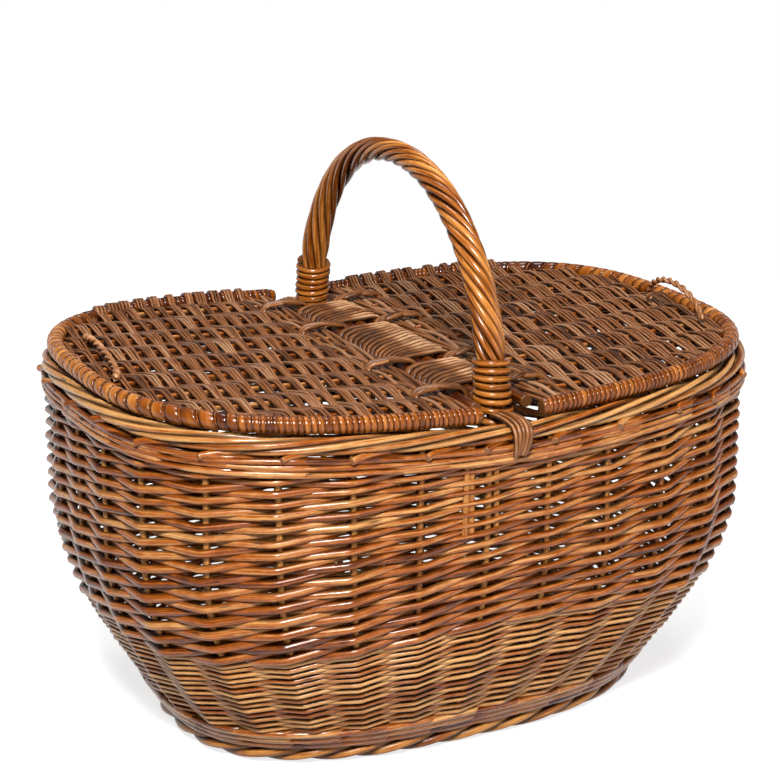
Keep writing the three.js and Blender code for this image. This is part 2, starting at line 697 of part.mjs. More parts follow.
['front', 'middle', 'back'].forEach((place, index) => {
  const name = `bar_binding_${place}`;
  const from = HINGE_LOOP_PLACES[index] + HINGE_LOOP_ROOM;
  const to = HINGE_LOOP_PLACES[index + 1] - HINGE_LOOP_ROOM;
  addMesh(basket, name, barSkein(name, from, to), WILLOW.skein, 0.45);
});

// Lid hoop line in the lid's own frame: its hinge axis is the outer bar rod, side is -1 left or 1 right
const hoopEndY = reachAt(hoopEndX, hoopHalfWidth, hoopHalfLength, SHOULDER_SQUARENESS);
const hoopEndAngle = Math.atan2(hoopEndY, hoopEndX);

function lidOutline(side, inset, z) {
  return range(HOOP_STEPS + 1).map((step) => {
    const angle = THREE.MathUtils.lerp(-hoopEndAngle, hoopEndAngle, step / HOOP_STEPS);
    const point = outlinePoint(
      angle, hoopHalfLength - inset, hoopHalfWidth - inset, SHOULDER_SQUARENESS,
    );
    return new THREE.Vector3(side * (point.x - barRodX), point.y, z);
  });
}

// Skein wound round the hoop, in even turns about the tip of the lid
function hoopSkein(name, side) {
  const line = new THREE.CatmullRomCurve3(lidOutline(side, 0, hoopLift));
  const length = line.getLength();
  const start = (length - HOOP_SKEIN_LOOPS * HOOP_SKEIN_PITCH) / 2;
  const rings = range(HOOP_SKEIN_LOOPS * STRIP_STEPS + 1).map((step) => {
    const share = (start + (step / STRIP_STEPS) * HOOP_SKEIN_PITCH) / length;
    const along = line.getTangentAt(share);
    const level = new THREE.Vector3().crossVectors(along, axisZ);
    const turn = (step / STRIP_STEPS) * 2 * Math.PI;
    const out = level.multiplyScalar(Math.cos(turn)).addScaledVector(axisZ, Math.sin(turn));
    return stripSection(
      line.getPointAt(share), out, along, hoopSkeinInner, hoopSkeinOuter, HOOP_SKEIN_WIDTH,
    );
  });
  return winding(name, rings, STRIP_STEPS);
}

// Woven panel: a flat D inside the hoop, with a slot for each lengthwise stick
const panelInset = hoopSkeinOuter + CLEARANCE;
const panelEdge = hingeRodReach + hingeLoopOuter + CLEARANCE;
const lidStickPlaces = centred(LID_STICKS, LID_STICK_SPACING);

function lidStickEnds(y) {
  const widest = Math.abs(y) + LID_STICK_RADIUS + CLEARANCE;
  const tip = reachAt(
    widest, hoopHalfLength - panelInset, hoopHalfWidth - panelInset, SHOULDER_SQUARENESS,
  );
  return [hingeRodReach + HINGE_ROD_RADIUS + CLEARANCE, tip - barRodX - CLEARANCE];
}

function lidPanel(side) {
  const outline = lidOutline(side, panelInset, 0).map((point) => new THREE.Vector2(point.x, point.y));
  const slab = new THREE.ExtrudeGeometry(
    new THREE.Shape(outline), { depth: PANEL_THICKNESS, bevelEnabled: false },
  ).translate(0, 0, hoopLift - PANEL_THICKNESS / 2);
  const nearEdge = boxBetween(
    new THREE.Vector3(-panelEdge, -wallHalfWidth, panelTop - 2 * PANEL_THICKNESS),
    new THREE.Vector3(panelEdge, wallHalfWidth, panelTop + PANEL_THICKNESS),
  );
  const slots = lidStickPlaces.map((y) => {
    const half = LID_STICK_RADIUS + CLEARANCE;
    const ends = [0, side * wallHalfLength];
    return boxBetween(
      new THREE.Vector3(Math.min(...ends), y - half, stickAxis - half),
      new THREE.Vector3(Math.max(...ends), y + half, panelTop + PANEL_THICKNESS),
    );
  });
  return cut(slab, [nearEdge, ...slots]);
}

// Hinge loop: an oval link round the outer bar rod and the hinge rod of the lid
function hingeLoop(side, y) {
  const line = [1, -1].flatMap((end) => range(LOOP_BEND_STEPS + 1).map((step) => {
    const turn = Math.PI * (step / LOOP_BEND_STEPS - 0.5) + (end < 0 ? Math.PI : 0);
    const middle = end > 0 ? hingeRodReach : 0;
    const x = side * (middle + hingeLoopRadius * Math.cos(turn));
    return new THREE.Vector3(x, y, hingeLoopRadius * Math.sin(turn));
  }));
  return planarRod(line, axisY, HINGE_LOOP_ROD_RADIUS, BINDING_SIDES, true);
}

// Pull loop: an arch on the lid near its tip, bent over by its stand angle
function pullLoop(side, name) {
  const lean = PULL_LOOP_STAND[name];
  const lidTop = Math.max(panelTop, stickAxis + LID_STICK_RADIUS);
  const seat = lidTop + CLEARANCE + PULL_LOOP_RADIUS * Math.cos(lean);
  const x = side * (hoopHalfLength - PULL_LOOP_INSET - barRodX);
  const up = new THREE.Vector3(-side * Math.cos(lean), 0, Math.sin(lean));
  const line = range(STRIP_STEPS + 1).map((step) => {
    const turn = (step / STRIP_STEPS) * Math.PI;
    const y = PULL_LOOP_PLACES[name] - (PULL_LOOP_SPANS[name] / 2) * Math.cos(turn);
    return new THREE.Vector3(x, y, seat).addScaledVector(up, PULL_LOOP_HEIGHTS[name] * Math.sin(turn));
  });
  const normal = new THREE.Vector3().crossVectors(up, axisY);
  return planarRod(line, normal, PULL_LOOP_RADIUS, ROD_SIDES);
}

function addLid(name, side) {
  const lid = new THREE.Group();
  lid.position.set(side * barRodX, 0, barAxisHeight);
  lid.rotation.y = -side * LID_TILT;
  const hoop = planarRod(lidOutline(side, 0, hoopLift), axisZ, HOOP_RADIUS, ROD_SIDES);
  addMesh(lid, `${name}_lid_hoop`, hoop, WILLOW.varnished, 0.35);
  const skeinName = `${name}_lid_hoop_binding`;
  addMesh(lid, skeinName, hoopSkein(skeinName, side), WILLOW.skein, 0.4);
  const hingeRodHalf = hoopHalfWidth - HOOP_RADIUS - 2 * CLEARANCE;
  const hingeRod = rodAlongY(HINGE_ROD_RADIUS, hingeRodHalf, side * hingeRodReach, 0, 0);
  addMesh(lid, `${name}_lid_hinge_rod`, hingeRod, WILLOW.lid, 0.5);
  addMesh(lid, `${name}_lid_weave`, lidPanel(side), WILLOW.lid, 0.55);
  lidStickPlaces.forEach((y, index) => {
    const [from, to] = lidStickEnds(y);
    const rod = rodAlongX(LID_STICK_RADIUS, side * from, side * to, y, stickAxis);
    addMesh(lid, `${name}_lid_stick_${index + 1}`, rod, WILLOW.body, 0.55);
  });
  HINGE_LOOP_PLACES.forEach((y, index) => {
    addMesh(lid, `${name}_hinge_loop_${index + 1}`, hingeLoop(side, y), WILLOW.skein, 0.45);
  });
  addMesh(lid, `${name}_pull_loop`, pullLoop(side, name), WILLOW.skein, 0.45);
  basket.add(lid);
}

addLid('left', -1);
addLid('right', 1);

export default basket;
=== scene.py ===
"""Dresses the willow picnic basket: every rod of the weave, borders, handle, cross bar and lids.

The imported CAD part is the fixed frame. Sizes here are millimetres in that frame, with +Z up, X along
the basket and the front at -Y, and they become metres when a mesh is made.
"""

import logging
import math
from dataclasses import dataclass, field
from enum import Enum
from typing import Callable, Optional

import bmesh
import bpy
import numpy as np
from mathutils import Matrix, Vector


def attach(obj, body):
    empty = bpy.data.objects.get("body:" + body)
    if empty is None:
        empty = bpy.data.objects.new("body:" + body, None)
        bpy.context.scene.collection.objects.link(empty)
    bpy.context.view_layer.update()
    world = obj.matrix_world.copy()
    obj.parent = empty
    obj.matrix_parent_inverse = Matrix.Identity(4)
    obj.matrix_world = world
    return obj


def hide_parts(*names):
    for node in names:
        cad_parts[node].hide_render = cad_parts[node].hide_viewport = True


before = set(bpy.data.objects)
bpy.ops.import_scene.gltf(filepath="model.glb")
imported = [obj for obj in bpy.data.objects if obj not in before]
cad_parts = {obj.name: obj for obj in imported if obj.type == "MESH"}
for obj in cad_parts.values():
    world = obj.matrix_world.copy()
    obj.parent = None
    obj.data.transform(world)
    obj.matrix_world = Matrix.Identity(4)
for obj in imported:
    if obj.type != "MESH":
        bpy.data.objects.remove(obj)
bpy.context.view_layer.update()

MM = 0.001
SEED = 20
PALEST = 0.95
DARKEST = 0.05
QUICK_WAVE = 0.37
QUICK_SHARE = 0.4
UP = np.array([0.0, 0.0, 1.0])
TO_RIGHT = np.array([1.0, 0.0, 0.0])
TO_BACK = np.array([0.0, 1.0, 0.0])
LEVEL = np.array([1.0, 1.0, 0.0])
TINY = 1e-9
BLACK = (0.0, 0.0, 0.0, 1.0)
BUMP_DISTANCE = 0.0006

# Inputs of the grain, the attribute of a rod's mesh that feeds each and the output that gives it.
ROD_LAYERS = (
    ("Rod Space", "rod_space", "Vector"),
    ("Tone", "rod_tone", "Fac"),
    ("Cut", "rod_cut", "Fac"),
    # Mask of the painted shade at the rods' edges.
    ("Edge", "rod_shade_edge", "Fac"),
)

# Scales of the grain per metre, along a rod and then across it.
STREAK_SCALE = (22, 760, 760)
BLOTCH_SCALE = (16, 70, 70)
MOTTLE_SCALE = (110, 280, 280)
FIBRE_SCALE = (170, 2400, 2400)
KNOT_SCALE = (30, 210, 210)
KNOT_PATCH_SCALE = (33, 33, 33)
DUST_AND_SHEEN_SCALE = (45, 45, 45)

log = logging.getLogger("basket")


class Body(Enum):
    """Moving bodies of the basket."""

    BASKET = "basket"
    LEFT_LID = "left_lid"
    RIGHT_LID = "right_lid"


class Slot(Enum):
    """Material slots of the record."""

    BODY = "willow_body"
    DARK = "willow_dark"
    LID = "willow_lid"
    VARNISHED = "willow_varnished"
    SKEIN = "willow_skein"


class End(Enum):
    """Ends of the handle and the cross bar, with the sign of their side in Y."""

    FRONT = -1
    BACK = 1


class Side(Enum):
    """Halves of the lid, with the sign of their side in X."""

    LEFT = -1
    RIGHT = 1


def linear(code: str) -> tuple[float, float, float, float]:
    """Linear colour of a screen colour.

    Args:
        code: Six hexadecimal digits after a hash sign.

    Returns:
        Red, green, blue and alpha for a shader socket.
    """
    parts = [int(code[start : start + 2], 16) / 255 for start in (1, 3, 5)]
    flat = [p / 12.92 if p <= 0.04045 else ((p + 0.055) / 1.055) ** 2.4 for p in parts]
    return (*flat, 1.0)


class NodeSheet:
    """Node tree that is filled by short calls."""

    def __init__(self, tree: bpy.types.NodeTree) -> None:
        """Keeps the tree and empties it."""
        self.tree = tree
        tree.nodes.clear()

    def add(self, kind: str, inputs: Optional[dict] = None, **settings: object) -> bpy.types.Node:
        """Adds a node.

        Args:
            kind: Type name of the node.
            inputs: Values or sockets for the inputs, by name or number.
            settings: Properties of the node.

        Returns:
            The new node.
        """
        node = self.tree.nodes.new(kind)
        for key, value in settings.items():
            setattr(node, key, value)
        for key, value in (inputs or {}).items():
            if isinstance(value, bpy.types.NodeSocket):
                self.tree.links.new(value, node.inputs[key])
            else:
                node.inputs[key].default_value = value
        return node

    def math(self, operation: str, *values: object, clamp: bool = False) -> bpy.types.NodeSocket:
        """Adds a Math node over values or sockets and returns its result."""
        node = self.add("ShaderNodeMath", dict(enumerate(values)), operation=operation, use_clamp=clamp)
        return node.outputs[0]

    def noise(self, vector: bpy.types.NodeSocket, scale: tuple, detail: float) -> bpy.types.NodeSocket:
        """Adds a noise whose grain is stretched along each axis.

        Args:
            vector: Place that the noise is read at.
            scale: Scale along each axis.
            detail: Octaves of the noise.

        Returns:
            The noise's value.
        """
        stretched = self.add("ShaderNodeMapping", {"Vector": vector, "Scale": scale})
        grain = {"Vector": stretched.outputs[0], "Scale": 1.0, "Detail": detail, "Roughness": 0.6}
        return self.add("ShaderNodeTexNoise", grain).outputs[0]

    def mix(self, share: object, first: object, second: object) -> bpy.types.NodeSocket:
        """Adds a colour mix from the first to the second and returns its colour."""
        sockets = {0: share, 6: first, 7: second}
        return self.add("ShaderNodeMix", sockets, data_type="RGBA").outputs[2]

    def seen(self) -> bpy.types.NodeSocket:
        """Adds a mask of the rays that show a surface.

        Returns:
            1 for rays of the camera and of reflections, 0 for those of light.
        """
        path = self.add("ShaderNodeLightPath").outputs
        direct = self.math("MAXIMUM", path["Is Camera Ray"], path["Is Transmission Ray"])
        return self.math("MAXIMUM", direct, path["Is Glossy Ray"])

    def ramp(self, value: object, low: float, high: float, start: float = 0.0, end: float = 1.0) -> object:
        """Adds a clamped change of range from low..high to start..end and returns its value."""
        return self.add("ShaderNodeMapRange", {0: value, 1: low, 2: high, 3: start, 4: end}).outputs[0]


def new_group(name: str, inputs: dict[str, str], outputs: dict[str, str]) -> NodeSheet:
    """Makes a shader node group with its sockets.

    Args:
        name: Name of the group.
        inputs: Socket kinds of the inputs, by name.
        outputs: Socket kinds of the outputs, by name.

    Returns:
        The group's sheet, still without nodes.
    """
    tree = bpy.data.node_groups.new(name, "ShaderNodeTree")
    for way, sockets in (("INPUT", inputs), ("OUTPUT", outputs)):
        for label, kind in sockets.items():
            tree.interface.new_socket(label, in_out=way, socket_type=f"NodeSocket{kind}")
    return NodeSheet(tree)


def grain_group() -> bpy.types.NodeTree:
    """Peeled willow: streaks and blotches along each rod, dark knots, pale cut ends, painted shade where
    rods meet.

    Returns:
        The node group, which reads a rod's own straightened space.
    """
    colours = {"Light": "Color", "Middle": "Color", "Dark": "Color", "Cut Colour": "Color"}
    values = {"Tone": "Float", "Cut": "Float", "Edge": "Float"}
    values |= {"Streak": "Float", "Blotch": "Float", "Crevice": "Float"}
    sheet = new_group(
        "willow_grain",
        {"Rod Space": "Vector", **values, **colours},
        {"Color": "Color", "Height": "Float", "Dryness": "Float"},
    )
    given = sheet.add("NodeGroupInput").outputs
    space = given["Rod Space"]
    streak = sheet.ramp(sheet.noise(space, STREAK_SCALE, 4), 0.32, 0.68)
    slow = sheet.noise(space, BLOTCH_SCALE, 2)
    quick = sheet.noise(space, MOTTLE_SCALE, 2)
    blotch = sheet.math("ADD", sheet.math("MULTIPLY", slow, 0.6), sheet.math("MULTIPLY", quick, 0.7))
    fine = sheet.noise(space, FIBRE_SCALE, 2)
    spots = sheet.add("ShaderNodeMapping", {"Vector": space, "Scale": KNOT_SCALE})
    spot = sheet.add("ShaderNodeTexVoronoi", {"Vector": spots.outputs[0], "Scale": 1.0}).outputs[0]
    rare = sheet.ramp(sheet.noise(space, KNOT_PATCH_SCALE, 0), 0.5, 0.62)
    knot = sheet.math("MULTIPLY", sheet.ramp(spot, 0.08, 0.2, 1.0, 0.0), rare)
    waver = sheet.math("MULTIPLY", sheet.math("SUBTRACT", streak, 0.5), given["Streak"])
    patch = sheet.math("MULTIPLY", sheet.math("SUBTRACT", blotch, 0.65), given["Blotch"])
    tone = sheet.math("ADD", sheet.math("ADD", given["Tone"], waver), patch)
    doubled = sheet.math("MULTIPLY", tone, 2.0)
    low = sheet.math("MULTIPLY", tone, 2.0, clamp=True)
    high = sheet.math("SUBTRACT", doubled, 1.0, clamp=True)
    colour = sheet.mix(high, sheet.mix(low, given["Dark"], given["Middle"]), given["Light"])
    black = sheet.mix(0.75, given["Dark"], BLACK)
    colour = sheet.mix(sheet.math("MULTIPLY", knot, 0.85), colour, black)
    # Painted shade: each rod's colour goes toward black at its edges, where it meets its neighbours.
    crevice = sheet.math("MULTIPLY", sheet.ramp(given["Edge"], 0.6, 1.0), given["Crevice"])
    colour = sheet.mix(crevice, colour, black)
    colour = sheet.mix(given["Cut"], colour, given["Cut Colour"])
    height = sheet.math("ADD", sheet.math("MULTIPLY", fine, 0.4), sheet.math("MULTIPLY", streak, 0.25))
    height = sheet.math("SUBTRACT", height, sheet.math("MULTIPLY", knot, 0.5))
    height = sheet.math("ADD", height, quick)
    dryness = sheet.math("MAXIMUM", sheet.math("MAXIMUM", streak, given["Cut"]), crevice)
    sheet.add("NodeGroupOutput", {"Color": colour, "Height": height, "Dryness": dryness})
    return sheet.tree


def dust_and_sheen_group() -> bpy.types.NodeTree:
    """Matte dust that lies on what faces up, together with a painted sheen of the light from above on those
    faces.

    Returns:
        The node group, which mixes a colour toward the paler colour of dust and painted sheen and gives
        their mask.
    """
    sheet = new_group(
        "settled_dust_and_sheen",
        {"Color": "Color", "Dust And Sheen Colour": "Color", "Amount": "Float"},
        {"Color": "Color", "Mask": "Float"},
    )
    given = sheet.add("NodeGroupInput").outputs
    place = sheet.add("ShaderNodeTexCoord").outputs
    upward = sheet.add("ShaderNodeSeparateXYZ", {0: place["Normal"]}).outputs[2]
    patchy = sheet.ramp(sheet.noise(place["Object"], DUST_AND_SHEEN_SCALE, 3), 0.3, 0.7, 0.35, 1.0)
    # Upward faces take the mix: partly real dust, partly painted sheen.
    mask = sheet.math("MULTIPLY", sheet.ramp(upward, 0.25, 1.0), patchy)
    mask = sheet.math("MULTIPLY", mask, given["Amount"])
    colour = sheet.mix(mask, given["Color"], given["Dust And Sheen Colour"])
    sheet.add("NodeGroupOutput", {"Color": colour, "Mask": mask})
    return sheet.tree


@dataclass(frozen=True)
class Finish:
    """One willow finish: its colours, gloss, painted shade at the rods' edges, and settled dust with
    painted sheen.
    """

    slot: Slot
    light: str
    middle: str
    dark: str
    cut: str = "#5a3518"
    gloss: tuple[float, float] = (0.22, 0.38)
    specular: float = 0.45
    streak: float = 0.6
    blotch: float = 0.9
    # Strength of the painted shade at the edges where rods meet.
    crevice: float = 0.8
    bump: float = 0.15
    # Amount and colour of the dust and painted sheen mixed onto upward faces.
    dust_and_sheen: float = 0.0
    dust_and_sheen_colour: str = "#8a6448"

    def material(self, grain: bpy.types.NodeTree, dust_and_sheen: bpy.types.NodeTree) -> bpy.types.Material:
        """Makes the finish's material.

        Args:
            grain: Node group of the willow grain.
            dust_and_sheen: Node group of the dust and the painted sheen.

        Returns:
            The material, named after its slot.
        """
        material = bpy.data.materials.new(self.slot.value)
        material.use_nodes = True
        sheet = NodeSheet(material.node_tree)
        values = {
            "Streak": self.streak,
            "Blotch": self.blotch,
            "Crevice": self.crevice,
            "Light": linear(self.light),
            "Middle": linear(self.middle),
            "Dark": linear(self.dark),
            "Cut Colour": linear(self.cut),
        }
        for label, layer, output in ROD_LAYERS:
            values[label] = sheet.add("ShaderNodeAttribute", attribute_name=layer).outputs[output]
        willow = sheet.add("ShaderNodeGroup", values, node_tree=grain)
        # Settled dust and painted sheen on upward faces.
        dust_and_sheen_inputs = {"Color": willow.outputs["Color"], "Dust And Sheen Colour": linear(self.dust_and_sheen_colour)}
        dust_and_sheen_node = sheet.add("ShaderNodeGroup", {**dust_and_sheen_inputs, "Amount": self.dust_and_sheen}, node_tree=dust_and_sheen)
        dull = sheet.math("MAXIMUM", willow.outputs["Dryness"], dust_and_sheen_node.outputs["Mask"])
        relief = sheet.add(
            "ShaderNodeBump",
            {"Strength": self.bump, "Distance": BUMP_DISTANCE, "Height": willow.outputs["Height"]},
        )
        shader = sheet.add(
            "ShaderNodeBsdfPrincipled",
            {
                "Base Color": dust_and_sheen_node.outputs["Color"],
                "Roughness": sheet.ramp(dull, 0.0, 1.0, *self.gloss),
                "Normal": relief.outputs[0],
                "Specular IOR Level": self.specular,
            },
        )
        sheet.add("ShaderNodeOutputMaterial", {"Surface": shader.outputs[0]})
        return material


FINISHES = (
    Finish(
        Slot.BODY, light="#bc8b52", middle="#8c460a", dark="#360e00", cut="#7a4c26",
        gloss=(0.15, 0.36), specular=0.38,
    ),
    Finish(Slot.DARK, light="#aa7236", middle="#7a3f12", dark="#341000", gloss=(0.24, 0.42), specular=0.25),
    Finish(
        Slot.LID, light="#987050", middle="#75441f", dark="#2e1202",
        gloss=(0.26, 0.44), specular=0.4, dust_and_sheen=0.03,
    ),
    Finish(
        Slot.VARNISHED, light="#c4823c", middle="#84440a", dark="#340e00",
        gloss=(0.16, 0.3), specular=0.36, blotch=0.7,
    ),
    Finish(
        Slot.SKEIN, light="#c09068", middle="#7c4a22", dark="#2c1202",
        gloss=(0.32, 0.46), specular=0.34, streak=0.35, crevice=1.0,
    ),
)


@dataclass
class Rod:
    """One willow rod: the points of its middle line, its radius at each, and its tone from 0 to 1.

    The tone is one value for the whole rod, or one for each point. Where the rod's outward direction at
    each point is known, its colour gets painted shade toward the edges between it and its neighbours.
    """

    points: np.ndarray
    radii: np.ndarray
    tone: float | np.ndarray
    closed: bool = False
    outward: Optional[np.ndarray] = None

    CUT_SHARE = 0.35
    CUT_NARROWING = 0.86
    MOST_CUT = 0.5
    SHORTEST_STEP = 1e-6

    def with_cut_ends(self) -> "Rod":
        """Adds a short narrowing at both ends, where the rod was cut.

        Returns:
            The rod with one more point near each end, or the same rod where it is closed.
        """
        if self.closed:
            return self
        points, radii = self.points, self.radii
        steps = np.linalg.norm(points[[1, -2]] - points[[0, -1]], axis=1)
        steps = np.maximum(steps, self.SHORTEST_STEP)
        shares = np.minimum(self.CUT_SHARE * radii[[0, -1]] / steps, self.MOST_CUT)
        first = points[0] + (points[1] - points[0]) * shares[0]
        last = points[-1] + (points[-2] - points[-1]) * shares[1]
        line = np.vstack([points[:1], first, points[1:-1], last, points[-1:]])
        widths = np.concatenate(
            [[radii[0] * self.CUT_NARROWING], radii[:1], radii[1:-1], radii[-1:],
             [radii[-1] * self.CUT_NARROWING]]
        )
        tones = np.broadcast_to(self.tone, len(points))
        tones = np.concatenate([tones[:1], tones[:1], tones[1:-1], tones[-1:], tones[-1:]])
        order = [0, 0, *range(1, len(points) - 1), -1, -1]
        outward = None if self.outward is None else self.outward[order]
        return Rod(line, widths, tones, outward=outward)


Warp = Callable[[np.ndarray], np.ndarray]


class RodMaker:
    """Turns rods into one mesh object that carries each rod's own space for its finish."""

    SPACE_SPREAD = 9000.0

    def __init__(self, seed: int) -> None:
        """Starts the row of random offsets that keeps the grain of two rods apart."""
        self.rng = np.random.default_rng(seed)

    def make(
        self, name: str, rods: list[Rod], sides: int = 8, warp: Optional[Warp] = None
    ) -> bpy.types.Object:
        """Makes the object of some rods.

        Args:
            name: Name of the object.
            rods: Rods, in millimetres.
            sides: Even number of sides of a rod.
            warp: Change of place for every vertex, in millimetres, such as a bend along a hoop.

        Returns:
            The object, linked to the scene, with its mesh closed.
        """
        rods = [rod.with_cut_ends() for rod in rods]
        mesh = self.swept(name, rods, sides)
        self.mark(mesh, rods, sides)
        if warp is not None:
            moved = warp(self.places(mesh)) * MM
            mesh.vertices.foreach_set("co", moved.astype(np.float32).ravel())
        self.close(mesh)
        obj = bpy.data.objects.new(name, mesh)
        bpy.context.scene.collection.objects.link(obj)
        return obj

    def swept(self, name: str, rods: list[Rod], sides: int) -> bpy.types.Mesh:
        """Sweeps a round section along every rod.

        Args:
            name: Name of the mesh.
            rods: Rods, in millimetres.
            sides: Even number of sides of a rod.

        Returns:
            The open mesh, its vertices in the order of rods, points and sides.
        """
        curve = bpy.data.curves.new(name, "CURVE")
        curve.dimensions = "3D"
        curve.bevel_depth = 1.0
        curve.bevel_resolution = (sides - 4) // 2
        curve.twist_mode = "MINIMUM"
        for rod in rods:
            spline = curve.splines.new("POLY")
            spline.points.add(len(rod.points) - 1)
            places = np.column_stack([rod.points * MM, np.ones(len(rod.points))])
            spline.points.foreach_set("co", places.ravel())
            spline.points.foreach_set("radius", rod.radii * MM)
            spline.use_cyclic_u = rod.closed
        holder = bpy.data.objects.new(name, curve)
        bpy.context.scene.collection.objects.link(holder)
        graph = bpy.context.evaluated_depsgraph_get()
        mesh = bpy.data.meshes.new_from_object(holder.evaluated_get(graph))
        bpy.data.objects.remove(holder)
        bpy.data.curves.remove(curve)
        mesh.name = name
        return mesh

    @staticmethod
    def places(mesh: bpy.types.Mesh) -> np.ndarray:
        """Places of a mesh's vertices.

        Args:
            mesh: The mesh, in metres.

        Returns:
            One place in a row, in millimetres.
        """
        places = np.empty(3 * len(mesh.vertices), np.float32)
        mesh.vertices.foreach_get("co", places)
        return places.reshape(-1, 3).astype(float) / MM

    @staticmethod
    def edges(rod: Rod, places: np.ndarray) -> np.ndarray:
        """How far each vertex of a rod is turned from the way that the rod faces, which places the painted
        shade.

        Args:
            rod: The rod.
            places: Places of its vertices, by point and side.

        Returns:
            From 0 on the rod's face and back to 1 on its edges.
        """
        if rod.outward is None:
            return np.zeros(places.shape[:2])
        spokes = places - rod.points[:, None]
        spokes = spokes / np.linalg.norm(spokes, axis=2)[:, :, None]
        facing = np.einsum("psk,pk->ps", spokes, rod.outward)
        return np.sqrt(1 - np.clip(facing, -1.0, 1.0) ** 2)

    def mark(self, mesh: bpy.types.Mesh, rods: list[Rod], sides: int) -> None:
        """Writes each vertex's place in its straightened rod, the rod's tone, its edges for the painted
        shade, and its cut ends.

        Args:
            mesh: Swept mesh of the rods.
            rods: Rods in the mesh's order.
            sides: Sides of a rod.
        """
        turn = np.arange(sides) / sides * 2 * math.pi
        places = self.places(mesh)
        spaces, tones, cuts, edges = [], [], [], []
        first = 0
        for rod in rods:
            last = first + sides * len(rod.points)
            # Painted shade mask: how far each vertex turns from the rod's outward face.
            edges.append(self.edges(rod, places[first:last].reshape(-1, sides, 3)).ravel())
            first = last
            along = lengths_along(rod.points)
            space = np.empty((len(along), sides, 3))
            space[:, :, 0] = along[:, None]
            space[:, :, 1] = rod.radii[:, None] * np.cos(turn)
            space[:, :, 2] = rod.radii[:, None] * np.sin(turn)
            spaces.append(space.reshape(-1, 3) + self.rng.uniform(0, self.SPACE_SPREAD, 3))
            tones.append(np.repeat(np.broadcast_to(rod.tone, len(along)), sides))
            cut = np.zeros((len(along), sides))
            if not rod.closed:
                cut[[0, -1]] = 1.0
            cuts.append(cut.ravel())
        layers = {
            "rod_space": ("FLOAT_VECTOR", "vector", np.concatenate(spaces) * MM),
            "rod_tone": ("FLOAT", "value", np.concatenate(tones)),
            "rod_cut": ("FLOAT", "value", np.concatenate(cuts)),
            # Mask of the painted shade at the rods' edges.
            "rod_shade_edge": ("FLOAT", "value", np.concatenate(edges)),
        }
        for label, (kind, key, values) in layers.items():
            layer = mesh.attributes.new(label, kind, "POINT")
            layer.data.foreach_set(key, values.astype(np.float32).ravel())

    @staticmethod
    def close(mesh: bpy.types.Mesh) -> None:
        """Caps the open ends of the rods and shades their sides smooth.

        Args:
            mesh: Swept mesh of the rods.
        """
        work = bmesh.new()
        work.from_mesh(mesh)
        rims = [edge for edge in work.edges if edge.is_boundary]
        if rims:
            bmesh.ops.holes_fill(work, edges=rims, sides=0)
        bmesh.ops.recalc_face_normals(work, faces=work.faces)
        for face in work.faces:
            face.smooth = len(face.verts) == 4
        work.to_mesh(mesh)
        work.free()


class Dresser:
    """Gives each piece its material, its body and the CAD node that it stands for."""

    def __init__(self) -> None:
        """Makes the finishes' materials and the maker of rods."""
        grain, dust_and_sheen = grain_group(), dust_and_sheen_group()
        self.materials = {finish.slot: finish.material(grain, dust_and_sheen) for finish in FINISHES}
        self.maker = RodMaker(SEED)

    def place(
        self,
        node: str,
        rods: list[Rod],
        slot: Slot,
        body: Body,
        sides: int = 8,
        warp: Optional[Warp] = None,
        outward: Optional[Warp] = None,
    ) -> bpy.types.Object:
        """Makes the piece that stands for a CAD node.

        Args:
            node: Name of the CAD node.
            rods: Rods of the piece.
            slot: Slot of its finish.
            body: Body that it moves with.
            sides: Sides of a rod.
            warp: Change of place for every vertex.
            outward: Outward directions at points, for the rods that have none of their own; they place the
                painted shade at the rods' edges.

        Returns:
            The dressed piece.
        """
        for rod in rods:
            if rod.outward is None and outward is not None:
                rod.outward = outward(rod.points)
        piece = self.maker.make(f"willow_{node}", rods, sides, warp)
        piece.data.materials.clear()
        piece.data.materials.append(self.materials[slot])
        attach(piece, body.value)
        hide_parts(node)
        log.info("%s: %d rods, %d faces", piece.name, len(rods), len(piece.data.polygons))
        return piece


def blend_values(first: float, second: float, share: np.ndarray) -> np.ndarray:
    """Straight blend from the first value to the second."""
    return first + (second - first) * share


def smooth_share(value: np.ndarray, start: float, end: float) -> np.ndarray:
    """Smooth step from 0 at start to 1 at end."""
    share = np.clip((value - start) / (end - start), 0.0, 1.0)
    return share * share * (3 - 2 * share)


def lengths_along(line: np.ndarray) -> np.ndarray:
    """Distances of a line's points from its start, along it."""
    steps = np.linalg.norm(np.diff(line, axis=0), axis=1)
    return np.concatenate([[0.0], np.cumsum(steps)])


def points_at(place: np.ndarray, marks: np.ndarray, line: np.ndarray) -> np.ndarray:
    """Points of a line at places between the marks of its own points."""
    return np.column_stack([np.interp(place, marks, line[:, axis]) for axis in range(3)])


def unit_rows(vectors: np.ndarray) -> np.ndarray:
    """Vectors in the rows of an array, each made one long."""
    return vectors / np.linalg.norm(vectors, axis=1)[:, None]


def straight_up(points: np.ndarray) -> np.ndarray:
    """Upward direction at each of some points."""
    return np.tile(UP, (len(points), 1))


def half_chord(place: float, half_across: float, half_along: float, power: float) -> float:
    """Half length of a superellipse at a place across it."""
    share = min(abs(place) / half_across, 1.0)
    return half_along * (1 - share**power) ** (1 / power)


def bent_wave(turns: np.ndarray, sharpness: float = 0.97) -> np.ndarray:
    """Wave from 1 at whole even turns to -1 at odd ones, almost straight between its bends."""
    return np.arcsin(sharpness * np.cos(math.pi * turns)) / math.asin(sharpness)


def outline(angle: np.ndarray, half_length: np.ndarray, half_width: np.ndarray, power: np.ndarray) -> tuple:
    """Superellipse in plan.

    Args:
        angle: Directions from the middle.
        half_length: Half axis along X.
        half_width: Half axis along Y.
        power: Squareness.

    Returns:
        X and Y of the points.
    """
    across = np.abs(np.cos(angle) / half_length) ** power
    along = np.abs(np.sin(angle) / half_width) ** power
    reach = (across + along) ** (-1 / power)
    return reach * np.cos(angle), reach * np.sin(angle)


@dataclass(frozen=True)
class Level:
    """Height on the wall, and how much of the rim's rise it takes part in."""

    z: float
    rise: float = 0.0


